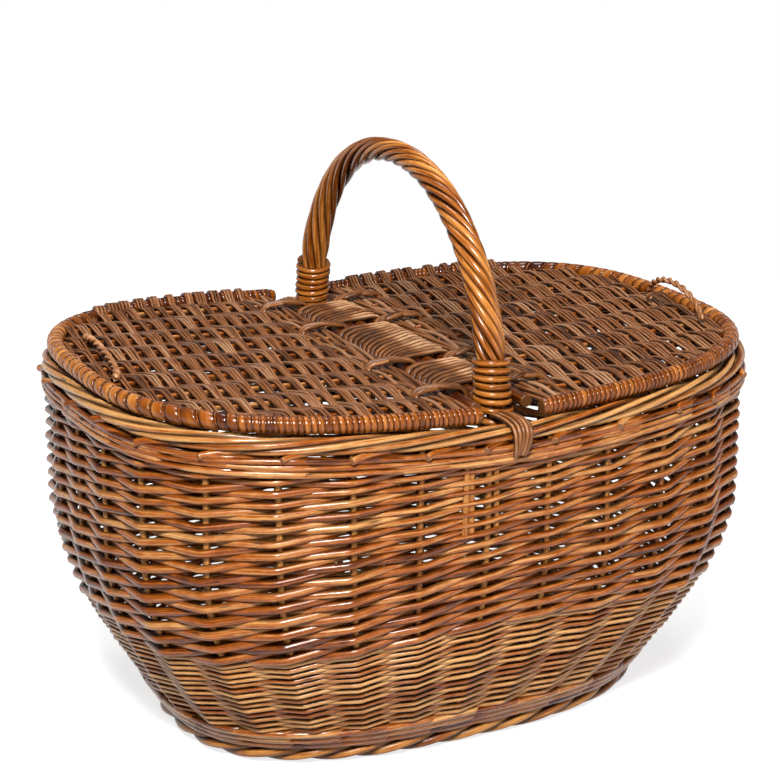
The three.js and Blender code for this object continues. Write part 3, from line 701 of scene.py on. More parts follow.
@dataclass(frozen=True)
class WallForm:
    """Outer surface of the wall: an oval foot that flares to a squarer, upright shoulder."""

    foot_half_length: float = 174.0
    foot_half_width: float = 115.0
    foot_squareness: float = 2.6
    shoulder_squareness: float = 3.0
    spread_width: float = 70.0
    shoulder_height: float = 160.0
    flare_start: float = 1.15
    flare_end: float = 1.9
    tilt: float = math.radians(2.8)
    rise_round: float = 10.0
    stakes: int = 30
    base_share: float = 0.85
    outline_points: int = 1441

    @property
    def half_length(self) -> float:
        """Half length at the shoulder."""
        return self.foot_half_length + self.spread_width

    @property
    def half_width(self) -> float:
        """Half width at the shoulder."""
        return self.foot_half_width + self.spread_width

    def outward(self, points: np.ndarray) -> np.ndarray:
        """Level directions out of the wall at some points, or upward at points of the base, which place the
        painted shade at the rods' edges.

        Args:
            points: Places in the basket's frame.

        Returns:
            One unit vector for each point.
        """
        level = points / np.array([self.half_length, self.half_width, 1.0]) ** 2 * LEVEL
        level = level / np.maximum(np.linalg.norm(level, axis=1), TINY)[:, None]
        reach = np.hypot(points[:, 0] / self.foot_half_length, points[:, 1] / self.foot_half_width)
        return np.where((reach < self.base_share)[:, None], UP, level)

    def share(self, z: np.ndarray) -> np.ndarray:
        """Share of the way from the foot to the shoulder."""
        return np.clip(np.asarray(z, float) / self.shoulder_height, 0.0, 1.0)

    def spread(self, z: np.ndarray) -> np.ndarray:
        """Distance that the wall has flared out at a height."""
        return self.spread_width * (1 - (1 - self.share(z) ** self.flare_start) ** self.flare_end)

    def rim_rise(self, x: np.ndarray) -> np.ndarray:
        """Rise of the rim from the handle towards the ends."""
        return math.tan(self.tilt) * (np.hypot(x, self.rise_round) - self.rise_round)

    def angles(self, stake: np.ndarray) -> np.ndarray:
        """Directions of stake places, counted from the front middle and even along the shoulder.

        Args:
            stake: Stake numbers, whole at a stake and past the count on later rounds.

        Returns:
            Angles from the middle of the basket.
        """
        fine = np.linspace(-math.pi / 2, 1.5 * math.pi, self.outline_points)
        x, y = outline(fine, self.half_length, self.half_width, self.shoulder_squareness)
        length = np.concatenate([[0.0], np.cumsum(np.hypot(np.diff(x), np.diff(y)))])
        place = (np.asarray(stake, float) + 0.5) / self.stakes
        rounds = np.floor(place)
        return np.interp((place - rounds) * length[-1], length, fine) + 2 * math.pi * rounds

    def places(self, stake: np.ndarray, z: np.ndarray, rise: np.ndarray, depth: np.ndarray) -> np.ndarray:
        """Points in the wall.

        Args:
            stake: Stake numbers round the basket.
            z: Heights at the front middle.
            rise: How much of the rim's rise each point takes part in.
            depth: Distances inward from the outer surface.

        Returns:
            Points, one in a row.
        """
        angle = self.angles(stake)
        power = blend_values(self.foot_squareness, self.shoulder_squareness, self.share(z))
        offset = self.spread(z) - depth
        x, _ = outline(angle, self.foot_half_length + offset, self.foot_half_width + offset, power)
        height = z + rise * self.rim_rise(x)
        offset = self.spread(height) - depth
        power = blend_values(self.foot_squareness, self.shoulder_squareness, self.share(height))
        x, y = outline(angle, self.foot_half_length + offset, self.foot_half_width + offset, power)
        return np.column_stack([x, y, height])


WALL = WallForm()


def tone_row(rng: np.random.Generator, middle: float = 0.5, spread: float = 0.17) -> float:
    """Tone of the next rod, from dark 0 to light 1."""
    return float(np.clip(rng.normal(middle, spread), DARKEST, PALEST))


def drift(rng: np.random.Generator, along: np.ndarray, size: float, wave: float = 5.0) -> np.ndarray:
    """Slow wander of a hand-laid rod.

    Args:
        rng: Source of the phases.
        along: Stake places along the rod.
        size: Largest wander.
        wave: Stakes in one wave.

    Returns:
        The wander at each place.
    """
    first, second = rng.uniform(0, 2 * math.pi, 2)
    slow = np.sin(2 * math.pi * along / wave + first)
    quick = np.sin(2 * math.pi * along / (QUICK_WAVE * wave) + second)
    return size * ((1 - QUICK_SHARE) * slow + QUICK_SHARE * quick)


@dataclass
class Randing:
    """French rand: one rod from each stake, in front of one and behind one, climbing all round."""

    low: Level
    high: Level
    steps: int
    butt_radius: float
    tip_radius: float
    stake_radius: float
    seed: int
    narrowing: float
    middle_depth: float = 6.8
    hug: float = 0.75
    swell: float = 0.8
    wander: float = 0.45
    bend: float = 0.05
    margin: float = 0.025
    corner_swell: float = 0.12
    corner_start: float = 0.25
    corner_end: float = 0.55
    thickness_spread: float = 0.06
    depth_wander: float = 0.3
    tone: float = 0.5
    tone_spread: float = 0.15

    def climbed(self, step: np.ndarray) -> np.ndarray:
        """Share of the band below a rod after some stakes, with rows that narrow upward."""
        share = step / self.steps
        return self.margin + (1 - 2 * self.margin) * share * (1 + self.narrowing * (1 - share))

    def crowding(self, stake: np.ndarray) -> np.ndarray:
        """Height of the band as a share of its height at the front.

        Args:
            stake: Stake numbers.

        Returns:
            The share at each stake.
        """
        middle = np.full(len(stake), (self.low.z + self.high.z) / 2)
        x = WALL.places(stake, middle, np.zeros(len(stake)), np.zeros(len(stake)))[:, 0]
        band = self.high.z - self.low.z
        return 1 + (self.high.rise - self.low.rise) * WALL.rim_rise(x) / band

    def corner(self, stake: np.ndarray) -> np.ndarray:
        """Nearness to a corner of the plan.

        Args:
            stake: Stake numbers.

        Returns:
            From 0 on a side to 1 in a corner.
        """
        middle = np.full(len(stake), (self.low.z + self.high.z) / 2)
        places = WALL.places(stake, middle, np.zeros(len(stake)), np.zeros(len(stake)))
        reach = np.abs(places[:, 0] * places[:, 1]) / (WALL.half_length * WALL.half_width)
        return smooth_share(reach, self.corner_start, self.corner_end)

    def rods(self) -> list[Rod]:
        """Rods of the weave, from butts at the bottom to tips at the top.

        Returns:
            One rod for each stake.
        """
        rng = np.random.default_rng(self.seed)
        knot = np.arange(-1, self.steps + 2)
        bends = [knot[1:-1] - self.bend, knot[1:-1] + self.bend]
        fine = np.sort(np.concatenate([knot[:1], *bends, knot[-1:]]))
        front = np.where(knot % 2 == 0, -1.0, 1.0)
        share = self.climbed(knot)
        rise = blend_values(self.low.rise, self.high.rise, share)
        rods = []
        for start in range(WALL.stakes):
            stake = start + knot
            radii = blend_values(self.butt_radius, self.tip_radius, np.clip(knot / self.steps, 0, 1))
            radii = radii * rng.normal(1.0, self.thickness_spread) * self.crowding(stake) ** self.swell
            radii = radii * (1 + self.corner_swell * self.corner(stake))
            depth = self.middle_depth + self.hug * (self.stake_radius + radii) * front
            depth = depth + rng.normal(0, self.depth_wander * self.wander, len(knot))
            height = blend_values(self.low.z, self.high.z, share) + rng.normal(0, self.wander, len(knot))
            places = WALL.places(stake, height, rise, depth)
            points = points_at(fine, knot, places)
            radii = np.interp(fine, knot, radii)
            rods.append(Rod(points, radii, tone_row(rng, self.tone, self.tone_spread)))
        return rods


@dataclass
class Waling:
    """Rows of three-rod wale: each rod in front of two stakes and behind one, stroke over stroke."""

    low: Level
    high: Level
    rows: int
    radius: float
    stake_radius: float
    seed: int
    depth_scale: float = 1.0
    lean: float = 1.5
    wander: float = 0.3
    strands: int = 3
    samples: int = 8
    pass_width: float = 0.42
    waves_round: int = 6
    thickness_spread: float = 0.05

    def rods(self) -> list[Rod]:
        """Rods of the wale.

        Returns:
            One closed rod for each strand of each row.
        """
        rng = np.random.default_rng(self.seed)
        stake = np.arange(WALL.stakes * self.samples) / self.samples
        rods = []
        for row in range(self.rows):
            share = (row + 0.5) / self.rows
            for strand in range(self.strands):
                place = (stake + strand + row) % self.strands
                behind = np.exp(-(((place + 0.5) % self.strands - 0.5) / self.pass_width) ** 2)
                depth = self.radius + 2 * (self.radius + self.stake_radius) * behind
                slant = self.lean * self.radius * (place / self.strands - 0.5) * (1 - behind)
                height = blend_values(self.low.z, self.high.z, share) + slant
                height = height + drift(rng, stake, self.wander, WALL.stakes / self.waves_round)
                rise = blend_values(self.low.rise, self.high.rise, share) * np.ones(len(stake))
                points = WALL.places(stake, height, rise, depth * self.depth_scale)
                radii = np.full(len(stake), self.radius * rng.normal(1.0, self.thickness_spread))
                rods.append(Rod(points, radii, tone_row(rng), closed=True))
        return rods


@dataclass
class RolledBorder:
    """Border of rods that roll outward, up and in again, each under the next."""

    level: Level
    half_height: float
    half_width: float
    middle_depth: float
    radius: float
    length: float
    seed: int
    taper: float = 0.0
    wander: float = 0.25
    tone: float = 0.55
    samples: int = 7
    end_length: float = 0.6
    end_share: float = 0.75
    thickness_spread: float = 0.06

    def rods(self) -> list[Rod]:
        """Rods of the border.

        Returns:
            One rod from each stake.
        """
        rng = np.random.default_rng(self.seed)
        step = np.linspace(0, self.length, int(self.length * self.samples) + 1)
        rods = []
        for start in range(WALL.stakes):
            stake = start + step
            turn = 2 * math.pi * (step / self.length - 0.5)
            depth = self.middle_depth - self.half_width * np.cos(turn)
            height = self.level.z + self.half_height * np.sin(turn) + drift(rng, stake, self.wander)
            rise = np.full(len(step), self.level.rise)
            ends = smooth_share(np.minimum(step, self.length - step), 0.0, self.end_length)
            slender = 1 + self.taper * (0.5 - step / self.length)
            radii = self.radius * rng.normal(1.0, self.thickness_spread)
            radii = radii * blend_values(self.end_share, 1.0, ends) * slender
            points = WALL.places(stake, height, rise, depth)
            level = np.full(len(step), self.level.z)
            outward = points - WALL.places(stake, level, rise, np.full(len(step), self.middle_depth))
            rods.append(Rod(points, radii, tone_row(rng, self.tone), outward=unit_rows(outward)))
        return rods


@dataclass
class BasketBody:
    """Base, stakes, both sidings, wales and rolled borders."""

    dresser: Dresser
    upsett: tuple[float, float] = (14.0, 30.0)
    weave_change: Level = Level(112.0, -1.756)
    siding_gap: float = 0.3
    siding_top: float = 225.4
    wale_top: float = 237.7
    rim_height: float = 250.5
    cut_end_drop: float = 14.0
    cut_end_slope: float = 4.0
    cut_end_depths: tuple[float, float] = (6.0, -1.2)
    cut_end_radius: float = 2.5
    cut_end_points: int = 6
    cut_end_sweep: float = 0.5
    cut_end_shift: float = 0.1
    cut_end_ragged: float = 1.2
    cut_end_spread: float = 0.08
    cut_end_tone: float = 0.55
    stake_radius: float = 2.6
    stake_depth: float = 6.9
    stake_start: float = 9.0
    stake_end: float = 4.0
    stake_points: int = 22
    stake_lean: float = 0.03
    stake_wave: float = 60.0
    stake_tone: tuple[float, float] = (0.85, 0.1)
    leg_clusters: tuple[float, ...] = (-1.1, 13.9)
    cluster_offsets: tuple[float, ...] = (-0.22, -0.11, 0.11, 0.22)
    cluster_bottom: float = 176.0
    base_middle: float = 18.5
    base_inset: float = 5.0
    base_edge: float = 6.0
    base_rod_radius: float = 2.0
    base_rod_pitch: float = 4.1
    base_swing: float = 2.0
    base_sharpness: float = 0.9
    base_point_spacing: float = 4.0
    base_tone: float = 0.4
    base_stick_points: int = 9
    base_stick_drop: float = 1.7
    base_stick_end: float = 4.0
    base_long_radius: float = 2.8
    base_cross_radius: float = 2.4
    base_long_places: tuple[float, ...] = (-38.0, 0.0, 38.0)
    base_cross_places: tuple[float, ...] = (-112.0, -56.0, 0.0, 56.0, 112.0)

    def build(self) -> None:
        """Makes every piece of the body."""
        self.build_base()
        self.build_stakes()
        self.build_weave()
        self.build_borders()

    def build_base(self) -> None:
        """Woven base and its crossed sticks."""
        rng = np.random.default_rng(SEED + 1)
        half_length = WALL.foot_half_length - self.base_inset
        half_width = WALL.foot_half_width - self.base_inset
        power = WALL.foot_squareness
        weavers = []
        count = int(2 * (half_width - self.base_edge) / self.base_rod_pitch)
        spacing = self.base_cross_places[1] - self.base_cross_places[0]
        for row in range(count):
            y = (row - (count - 1) / 2) * self.base_rod_pitch
            end = half_chord(y, half_width, half_length, power)
            x = np.linspace(-end, end, max(int(end / self.base_point_spacing), 4))
            z = self.base_middle + self.base_swing * bent_wave(x / spacing + row, self.base_sharpness)
            line = np.column_stack([x, np.full(len(x), y), z])
            radii = np.full(len(x), self.base_rod_radius)
            weavers.append(Rod(line, radii, tone_row(rng, self.base_tone)))
        self.dresser.place("base_weave", weavers, Slot.BODY, Body.BASKET, 6, outward=WALL.outward)
        sticks = []
        points = self.base_stick_points
        z = np.full(points, self.base_middle - self.base_stick_drop)
        for y in self.base_long_places:
            end = half_chord(y, half_width, half_length, power) - self.base_stick_end
            line = np.column_stack([np.linspace(-end, end, points), np.full(points, y), z])
            sticks.append(Rod(line, np.full(points, self.base_long_radius), tone_row(rng, self.base_tone)))
        for x in self.base_cross_places:
            end = half_chord(x, half_length, half_width, power) - self.base_stick_end
            line = np.column_stack([np.full(points, x), np.linspace(-end, end, points), z])
            sticks.append(Rod(line, np.full(points, self.base_cross_radius), tone_row(rng, self.base_tone)))
        self.dresser.place("base_sticks", sticks, Slot.DARK, Body.BASKET, outward=WALL.outward)

    def build_stakes(self) -> None:
        """Upright stakes, with a cluster of extra ones beside each leg of the handle."""
        rng = np.random.default_rng(SEED + 2)
        bottom = self.upsett[0] + self.stake_start
        rods = [self.stake(stake, bottom, rng) for stake in range(WALL.stakes)]
        for middle in self.leg_clusters:
            for offset in self.cluster_offsets:
                rods.append(self.stake(middle + offset, self.cluster_bottom, rng))
        self.dresser.place("side_stakes", rods, Slot.DARK, Body.BASKET, outward=WALL.outward)

    def stake(self, place: float, bottom: float, rng: np.random.Generator) -> Rod:
        """One stake.

        Args:
            place: Stake number.
            bottom: Height of its lower end.
            rng: Source of its tone and lean.

        Returns:
            The stake as a rod.
        """
        z = np.linspace(bottom, self.wale_top + self.stake_end, self.stake_points)
        share = np.clip((z - self.weave_change.z) / (self.siding_top - self.weave_change.z), -1, 1)
        rise = np.where(share > 0, share, 0.0)
        lean = place + self.stake_lean * np.sin(z / self.stake_wave + rng.uniform(0, 6))
        points = WALL.places(lean, z, rise, np.full(len(z), self.stake_depth))
        return Rod(points, np.full(len(z), self.stake_radius), tone_row(rng, *self.stake_tone))

    def build_weave(self) -> None:
        """Both sidings and the wales above and below them."""
        foot, top = Level(self.upsett[1] + self.siding_gap), Level(self.siding_top, 1.0)
        # The lower siding's paler tone is painted light, making up for the light that its downward-leaning
        # wall misses.
        lower = Randing(
            foot, self.weave_change, steps=26, butt_radius=1.75, tip_radius=1.55,
            stake_radius=self.stake_radius, seed=SEED + 3,
            narrowing=0.06, hug=1.0, swell=0.4, wander=0.3, bend=0.035, tone=0.7,
        )
        upper = Randing(
            self.weave_change, top, steps=28, butt_radius=2.5, tip_radius=1.9,
            stake_radius=self.stake_radius, seed=SEED + 4,
            narrowing=0.16, hug=0.74, wander=0.5,
        )
        upsett = Waling(
            Level(self.upsett[0]), Level(self.upsett[1]), rows=3, radius=2.7,
            stake_radius=self.stake_radius, seed=SEED + 5, depth_scale=1.1,
        )
        wale = Waling(
            top, Level(self.wale_top, 1.0), rows=3, radius=1.95,
            stake_radius=2.4, seed=SEED + 6, wander=0.7,
        )
        bands = {"lower_siding": lower, "upper_siding": upper, "upsett_wale": upsett, "top_wale": wale}
        for node, band in bands.items():
            self.dresser.place(node, band.rods(), Slot.BODY, Body.BASKET, outward=WALL.outward)

    def build_borders(self) -> None:
        """Rolled borders at the foot and the rim."""
        foot = RolledBorder(
            Level(7.2), half_height=3.6, half_width=4.6, middle_depth=5.4,
            radius=3.3, length=3.2, seed=SEED + 7, tone=0.84,
        )
        rim = RolledBorder(
            Level(244.6, 1.0), half_height=3.8, half_width=4.9, middle_depth=7.6,
            radius=2.35, length=5.4, seed=SEED + 8, taper=0.5, wander=0.5, tone=0.82,
        )
        self.dresser.place("foot_border", foot.rods(), Slot.DARK, Body.BASKET, outward=WALL.outward)
        self.dresser.place("rim_border", rim.rods() + self.cut_ends(), Slot.BODY, Body.BASKET)

    def cut_ends(self) -> list[Rod]:
        """Cut ends of the border's rods, which stick out below it, one beside each stake.

        Returns:
            Short rods that end outward.
        """
        rng = np.random.default_rng(SEED + 9)
        share = np.linspace(0, 1, self.cut_end_points)
        rods = []
        for stake in range(WALL.stakes):
            along = stake + rng.normal(0, self.cut_end_shift) + self.cut_end_sweep * (1 - share) ** 1.6
            height = self.rim_height - self.cut_end_drop + rng.normal(0, self.cut_end_ragged)
            height = height + blend_values(self.cut_end_slope, 0.0, share)
            depth = blend_values(*self.cut_end_depths, share**1.3)
            points = WALL.places(along, height, np.ones(len(share)), depth)
            radii = np.full(len(share), self.cut_end_radius * rng.normal(1.0, self.cut_end_spread))
            rods.append(Rod(points, radii, tone_row(rng, self.cut_end_tone)))
        return rods


@dataclass
class Arch:
    """Middle line of the handle, from the front foot over the top to the back foot."""

    foot_y: float = 143.0
    foot_z: float = 250.5
    top_z: float = 398.0
    squareness: float = 2.1
    fine_points: int = 721
    points: np.ndarray = field(init=False)
    lengths: np.ndarray = field(init=False)

    def __post_init__(self) -> None:
        """Measures the line."""
        turn = np.linspace(0, math.pi, self.fine_points)
        power = 2 / self.squareness
        side = np.cos(turn)
        y = -self.foot_y * np.sign(side) * np.abs(side) ** power
        z = self.foot_z + (self.top_z - self.foot_z) * np.abs(np.sin(turn)) ** power
        self.points = np.column_stack([np.zeros(len(turn)), y, z])
        self.lengths = lengths_along(self.points)

    @property
    def length(self) -> float:
        """Length from foot to foot."""
        return float(self.lengths[-1])

    def section(self, distance: np.ndarray) -> tuple[np.ndarray, np.ndarray]:
        """Middle and outward normal at distances from the front foot, straight on past both feet.

        Args:
            distance: Distances along the arch.

        Returns:
            Middles and normals, one in a row.
        """
        inside = np.clip(distance, 0, self.length)
        middle = points_at(inside, self.lengths, self.points)
        ahead = points_at(np.minimum(inside + 1, self.length), self.lengths, self.points)
        behind = points_at(np.maximum(inside - 1, 0), self.lengths, self.points)
        tangent = unit_rows(ahead - behind)
        normal = np.cross(TO_RIGHT, tangent)
        middle = middle + tangent * (np.asarray(distance) - inside)[:, None]
        return middle, normal

    def around(self, distance: np.ndarray, turn: np.ndarray, radius: np.ndarray) -> np.ndarray:
        """Points round the arch.

        Args:
            distance: Distances from the front foot.
            turn: Turns round the arch: 0 is +X and a quarter turn is outward.
            radius: Distances from the arch's middle line.

        Returns:
            Points, one in a row.
        """
        middle, normal = self.section(distance)
        out = np.cos(turn)[:, None] * TO_RIGHT + np.sin(turn)[:, None] * normal
        return middle + out * np.asarray(radius)[..., None]


@dataclass
class Handle:
    """Roped bow with a binding and a tie at each foot."""

    dresser: Dresser
    arch: Arch = field(default_factory=Arch)
    core_radius: float = 5.0
    rope_leg_radius: float = 11.0
    rope_top_radius: float = 8.3
    rope_foot_radius: float = 8.8
    drawn_inside: float = 8.0
    drawn_outside: float = 14.0
    strands: int = 9
    strand_spread: float = 0.05
    rope_tone: tuple[float, float] = (0.55, 0.13)
    front_lay: float = math.radians(27.0)
    back_lay: float = math.radians(9.0)
    binding_length: float = 35.0
    binding_start: float = -5.0
    binding_turns: float = 7.6
    binding_radius: float = 2.3
    binding_bite: float = 0.2
    binding_waver: float = 0.35
    binding_steps: int = 18
    back_extra_length: float = 8.5
    back_extra_turns: float = 1.85
    loose_drop: float = 2.5
    loose_room: float = 2.6
    seat_top: float = 185.0
    seat_bottom: float = 130.0
    seat_depth: float = 8.6
    tie_strands: int = 5
    tie_radius: float = 1.5
    tie_gap: float = 0.4
    tie_proud: float = 2.8
    tie_pitch: float = 1.04
    tie_points: int = 29
    tie_tone: tuple[float, float] = (0.45, 0.12)

    def build(self) -> None:
        """Makes every piece of the handle."""
        self.build_core()
        self.build_rope()
        for end in End:
            self.build_binding(end)
            self.build_tie(end)

    def build_core(self) -> None:
        """Bow inside the rope, its legs bent out to lie inside the wall."""
        along = np.linspace(0, self.arch.length, 60)
        middle, _ = self.arch.section(along)
        legs = []
        for end in End:
            heights = np.array([self.seat_bottom, self.seat_top])
            y = WALL.foot_half_width + WALL.spread(heights) - self.seat_depth - self.core_radius
            legs.append(np.column_stack([np.zeros(2), end.value * y, heights]))
        line = np.vstack([legs[0], middle, legs[1][::-1]])
        core = Rod(line, np.full(len(line), self.core_radius), 0.4)
        self.dresser.place("handle_core", [core], Slot.DARK, Body.BASKET, 10)

    def rope_radius(self, distance: np.ndarray) -> np.ndarray:
        """Outer radius of the rope: drawn in at the feet, thinner at the top.

        Args:
            distance: Distances from the front foot.

        Returns:
            The radius at each distance.
        """
        foot = np.minimum(distance, self.arch.length - distance)
        taper = blend_values(self.rope_leg_radius, self.rope_top_radius, 2 * foot / self.arch.length)
        bound = self.binding_length + np.where(distance > foot, self.back_extra_length, 0.0)
        drawn = smooth_share(foot, bound - self.drawn_inside, bound + self.drawn_outside)
        return blend_values(self.rope_foot_radius, taper, drawn)

    def build_rope(self) -> None:
        """Strands laid round the bow."""
        rng = np.random.default_rng(SEED + 10)
        along = np.linspace(0, self.arch.length, 150)
        outer = self.rope_radius(along)
        share = math.sin(math.pi / self.strands)
        strand = outer * share / (1 + share)
        reach = outer - strand
        lay = np.tan(blend_values(self.front_lay, self.back_lay, along / self.arch.length))
        turning = lay / reach
        turn = np.concatenate([[0.0], np.cumsum((turning[1:] + turning[:-1]) / 2 * np.diff(along))])
        rods = []
        for index in range(self.strands):
            start = 2 * math.pi * index / self.strands + rng.normal(0, self.strand_spread)
            radii = strand * rng.normal(1.0, self.strand_spread)
            points = self.arch.around(along, turn + start, reach)
            tone = tone_row(rng, *self.rope_tone)
            rods.append(Rod(points, radii, tone, outward=self.away(points, along)))
        self.dresser.place("handle_rope", rods, Slot.VARNISHED, Body.BASKET, 10)

    def away(self, points: np.ndarray, along: np.ndarray) -> np.ndarray:
        """Unit vectors from the bow's middle line to points round it at some lengths along it."""
        return unit_rows(points - self.arch.section(along)[0])

    def build_binding(self, end: End) -> None:
        """Rod wound round the rope at one foot.

        Args:
            end: Foot that it is on.
        """
        rng = np.random.default_rng(SEED + 11)
        back = float(end is End.BACK)
        turns = self.binding_turns + back * self.back_extra_turns
        length = self.binding_length + back * self.back_extra_length
        steps = int(turns * self.binding_steps)
        share = np.linspace(0, 1, steps + 1)
        turn = share * turns * 2 * math.pi
        along = blend_values(self.binding_start, length - self.binding_radius, share)
        loose = 1.0 - smooth_share(share, 0.1, 0.2)
        along = along - self.loose_drop * loose * (0.7 + np.sin(turn)) / 1.7
        radius = self.rope_foot_radius + self.binding_radius - self.binding_bite + self.loose_room * loose
        radius = radius + self.binding_waver * np.sin(turn * 1.7 + rng.uniform(0, 6))
        points = self.arch.around(along, turn, radius)
        mirror = np.array([1.0, -end.value, 1.0])
        outward = self.away(points, along) * mirror
        rod = Rod(points * mirror, np.full(steps + 1, self.binding_radius), 0.55, outward=outward)
        name = f"handle_binding_{end.name.lower()}"
        self.dresser.place(name, [rod], Slot.VARNISHED, Body.BASKET)

    def build_tie(self, end: End) -> None:
        """Strands from one foot over the rim, closing to a point on its outer face.

        Args:
            end: Foot that it is on.
        """
        rng = np.random.default_rng(SEED + 12)
        top = self.arch.foot_z + self.tie_radius + self.tie_gap
        outer = WALL.half_width + self.tie_proud + self.tie_radius
        # Distance from the middle, height, and how far the strands are spread.
        route = np.array(
            [
                [self.arch.foot_y + 9.0, top - 3.0, 0.7],
                [self.arch.foot_y + 16.0, top - 0.6, 0.9],
                [WALL.half_width - 12.0, top + 0.4, 1.0],
                [WALL.half_width - 1.0, top - 0.4, 1.0],
                [outer - 0.4, top - 4.5, 0.95],
                [outer + 0.2, top - 10.0, 0.85],
                [outer - 0.6, top - 16.0, 0.7],
                [outer - 3.0, top - 21.5, 0.5],
            ]
        )
        fine = np.linspace(0, len(route) - 1, self.tie_points)
        smooth = np.column_stack([self.eased(fine, route[:, i]) for i in range(3)])
        rods = []
        for index in range(self.tie_strands):
            place = index - (self.tie_strands - 1) / 2
            x = 2 * self.tie_radius * self.tie_pitch * place * smooth[:, 2] - 2.0 - 0.04 * fine**2
            lift = 0.6 * math.cos(place * 1.3) * np.ones(len(fine))
            points = np.column_stack([x, end.value * smooth[:, 0], smooth[:, 1] + lift])
            radii = np.full(len(fine), self.tie_radius)
            outward = unit_rows(np.cross(np.gradient(points, axis=0), TO_RIGHT))
            rods.append(Rod(points, radii, tone_row(rng, *self.tie_tone), outward=outward))
        self.dresser.place(f"handle_tie_{end.name.lower()}", rods, Slot.SKEIN, Body.BASKET)

    @staticmethod
    def eased(place: np.ndarray, values: np.ndarray) -> np.ndarray:
        """Values between whole places, rounded by averaging three nearby readings.

        Args:
            place: Places to read at.
            values: Values at the whole places.

        Returns:
            The rounded value at each place.
        """
        whole = np.arange(len(values))
        shifts = (-0.35, 0.0, 0.35)
        return sum(np.interp(place + shift, whole, values) for shift in shifts) / len(shifts)


@dataclass
class CrossBar:
    """Four rods side by side between the feet of the handle, wrapped in skein between the hinges."""

    dresser: Dresser
    rod_radius: float = 4.5
    outer_x: float = 18.88
    inner_x: float = 4.65
    axis_z: float = 256.05
    outer_half: float = 155.0
    inner_half: float = 128.6
    loop_places: tuple[float, ...] = (-126.0, -54.0, 54.0, 126.0)
    loop_room: float = 5.2
    skein_pitch: float = 6.2
    skein_width: float = 4.8
    skein_thickness: float = 2.9
    skein_side_reach: float = 6.4
    skein_shoulder: float = 5.0
    skein_slant: float = 0.52
    slant_length: float = 98.0
    dark_edge: tuple[float, float] = (-4.0, 0.0)
    dark_share: float = 0.36
    skein_tone: float = 0.82
    skein_tone_spread: float = 0.2
    rod_points: int = 25
    # Near-black tone of the bar's rods: painted shade in the gaps between the skein's turns.
    rod_tone: tuple[float, float] = (0.1, 0.05)

    def build(self) -> None:
        """Makes every piece of the cross bar."""
        rng = np.random.default_rng(SEED + 20)
        pairs = (("outer", self.outer_x, self.outer_half), ("inner", self.inner_x, self.inner_half))
        for label, x, half in pairs:
            for side in Side:
                y = np.linspace(-half, half, self.rod_points)
                even = np.ones(self.rod_points)
                line = np.column_stack([side.value * x * even, y, self.axis_z * even])
                rod = Rod(line, self.rod_radius * even, tone_row(rng, *self.rod_tone))
                name = f"bar_rod_{label}_{side.name.lower()}"
                self.dresser.place(name, [rod], Slot.DARK, Body.BASKET, 10)
        for index, label in enumerate(("front", "middle", "back")):
            start = self.loop_places[index] + self.loop_room
            self.build_skein(label, start, self.loop_places[index + 1] - self.loop_room, rng)

    def build_skein(self, label: str, start: float, end: float, rng: np.random.Generator) -> None:
        """Flat skein wound round the four rods in one stretch.

        Args:
            label: Name of the stretch.
            start: Y of its near end.
            end: Y of its far end.
            rng: Source of the turns' tones.
        """
        turns = round((end - start - self.skein_width) / self.skein_pitch)
        pitch = (end - start - self.skein_width) / turns
        first = start + self.skein_width / 2
        half = self.skein_thickness / 2
        reach = self.rod_radius + half
        bend = np.linspace(math.pi / 2, -math.pi / 2, 7)
        turn_reach = self.skein_side_reach - half
        right = np.column_stack([self.outer_x + turn_reach * np.cos(bend), turn_reach * np.sin(bend)])
        flat = (self.outer_x - self.skein_shoulder) * np.linspace(1, -1, 4)
        under = np.column_stack([flat, np.full(4, -reach)])
        left = -right
        over = -under
        loop = np.vstack([right, under, left, over])
        count = len(loop)
        step = np.arange(turns * count + 1)
        y = first + step / count * pitch
        squeeze = self.skein_thickness / self.skein_width
        line = np.column_stack([loop[step % count, 0], y * squeeze, self.axis_z + loop[step % count, 1]])
        tones = rng.normal(self.skein_tone, self.skein_tone_spread, turns + 1)
        tones = np.repeat(tones, count)[: len(line)]
        tones = tones * blend_values(self.dark_share, 1.0, smooth_share(line[:, 0], *self.dark_edge))
        middle = np.column_stack([np.clip(line[:, 0], -self.outer_x, self.outer_x), line[:, 1]])
        outward = unit_rows(line - np.column_stack([middle, np.full(len(line), self.axis_z)]))
        rod = Rod(line, np.full(len(line), half), np.clip(tones, 0.0, 1.0), outward=outward)
        stretch = np.array([1.0, 1 / squeeze, 1.0])
        slant = self.skein_slant * min(1.0, (end - start) / self.slant_length)

        def slanted(places: np.ndarray) -> np.ndarray:
            """Widens the strips and slants them, less toward the ends of the stretch.

            Args:
                places: Places in the squeezed winding.

            Returns:
                Places in the basket's frame.
            """
            moved = places * stretch
            share = (2 * moved[:, 1] - start - end) / (end - start)
            moved[:, 1] += slant * moved[:, 0] * (1 - np.clip(share**2, 0.0, 1.0))
            return moved

        self.dresser.place(f"bar_binding_{label}", [rod], Slot.SKEIN, Body.BASKET, 8, slanted)


@dataclass(frozen=True)
class PullLoop:
    """Sizes of one twisted pull loop: where it stands on its lid, how steeply, and how it is twisted."""

    stand: float
    middle: float
    span: float
    height: float
    radius: float
    twists: float
    inset: float
    skew: float
    tone: float


PULL_LOOPS = {
    Side.LEFT: PullLoop(
        math.radians(14.0), middle=15.0, span=108.0, height=5.0,
        radius=1.4, twists=6.5, inset=0.0, skew=8.0, tone=0.68,
    ),
    Side.RIGHT: PullLoop(
        math.radians(80.0), middle=-48.0, span=68.0, height=22.0,
        radius=1.35, twists=6.0, inset=9.0, skew=0.0, tone=0.55,
    ),
}


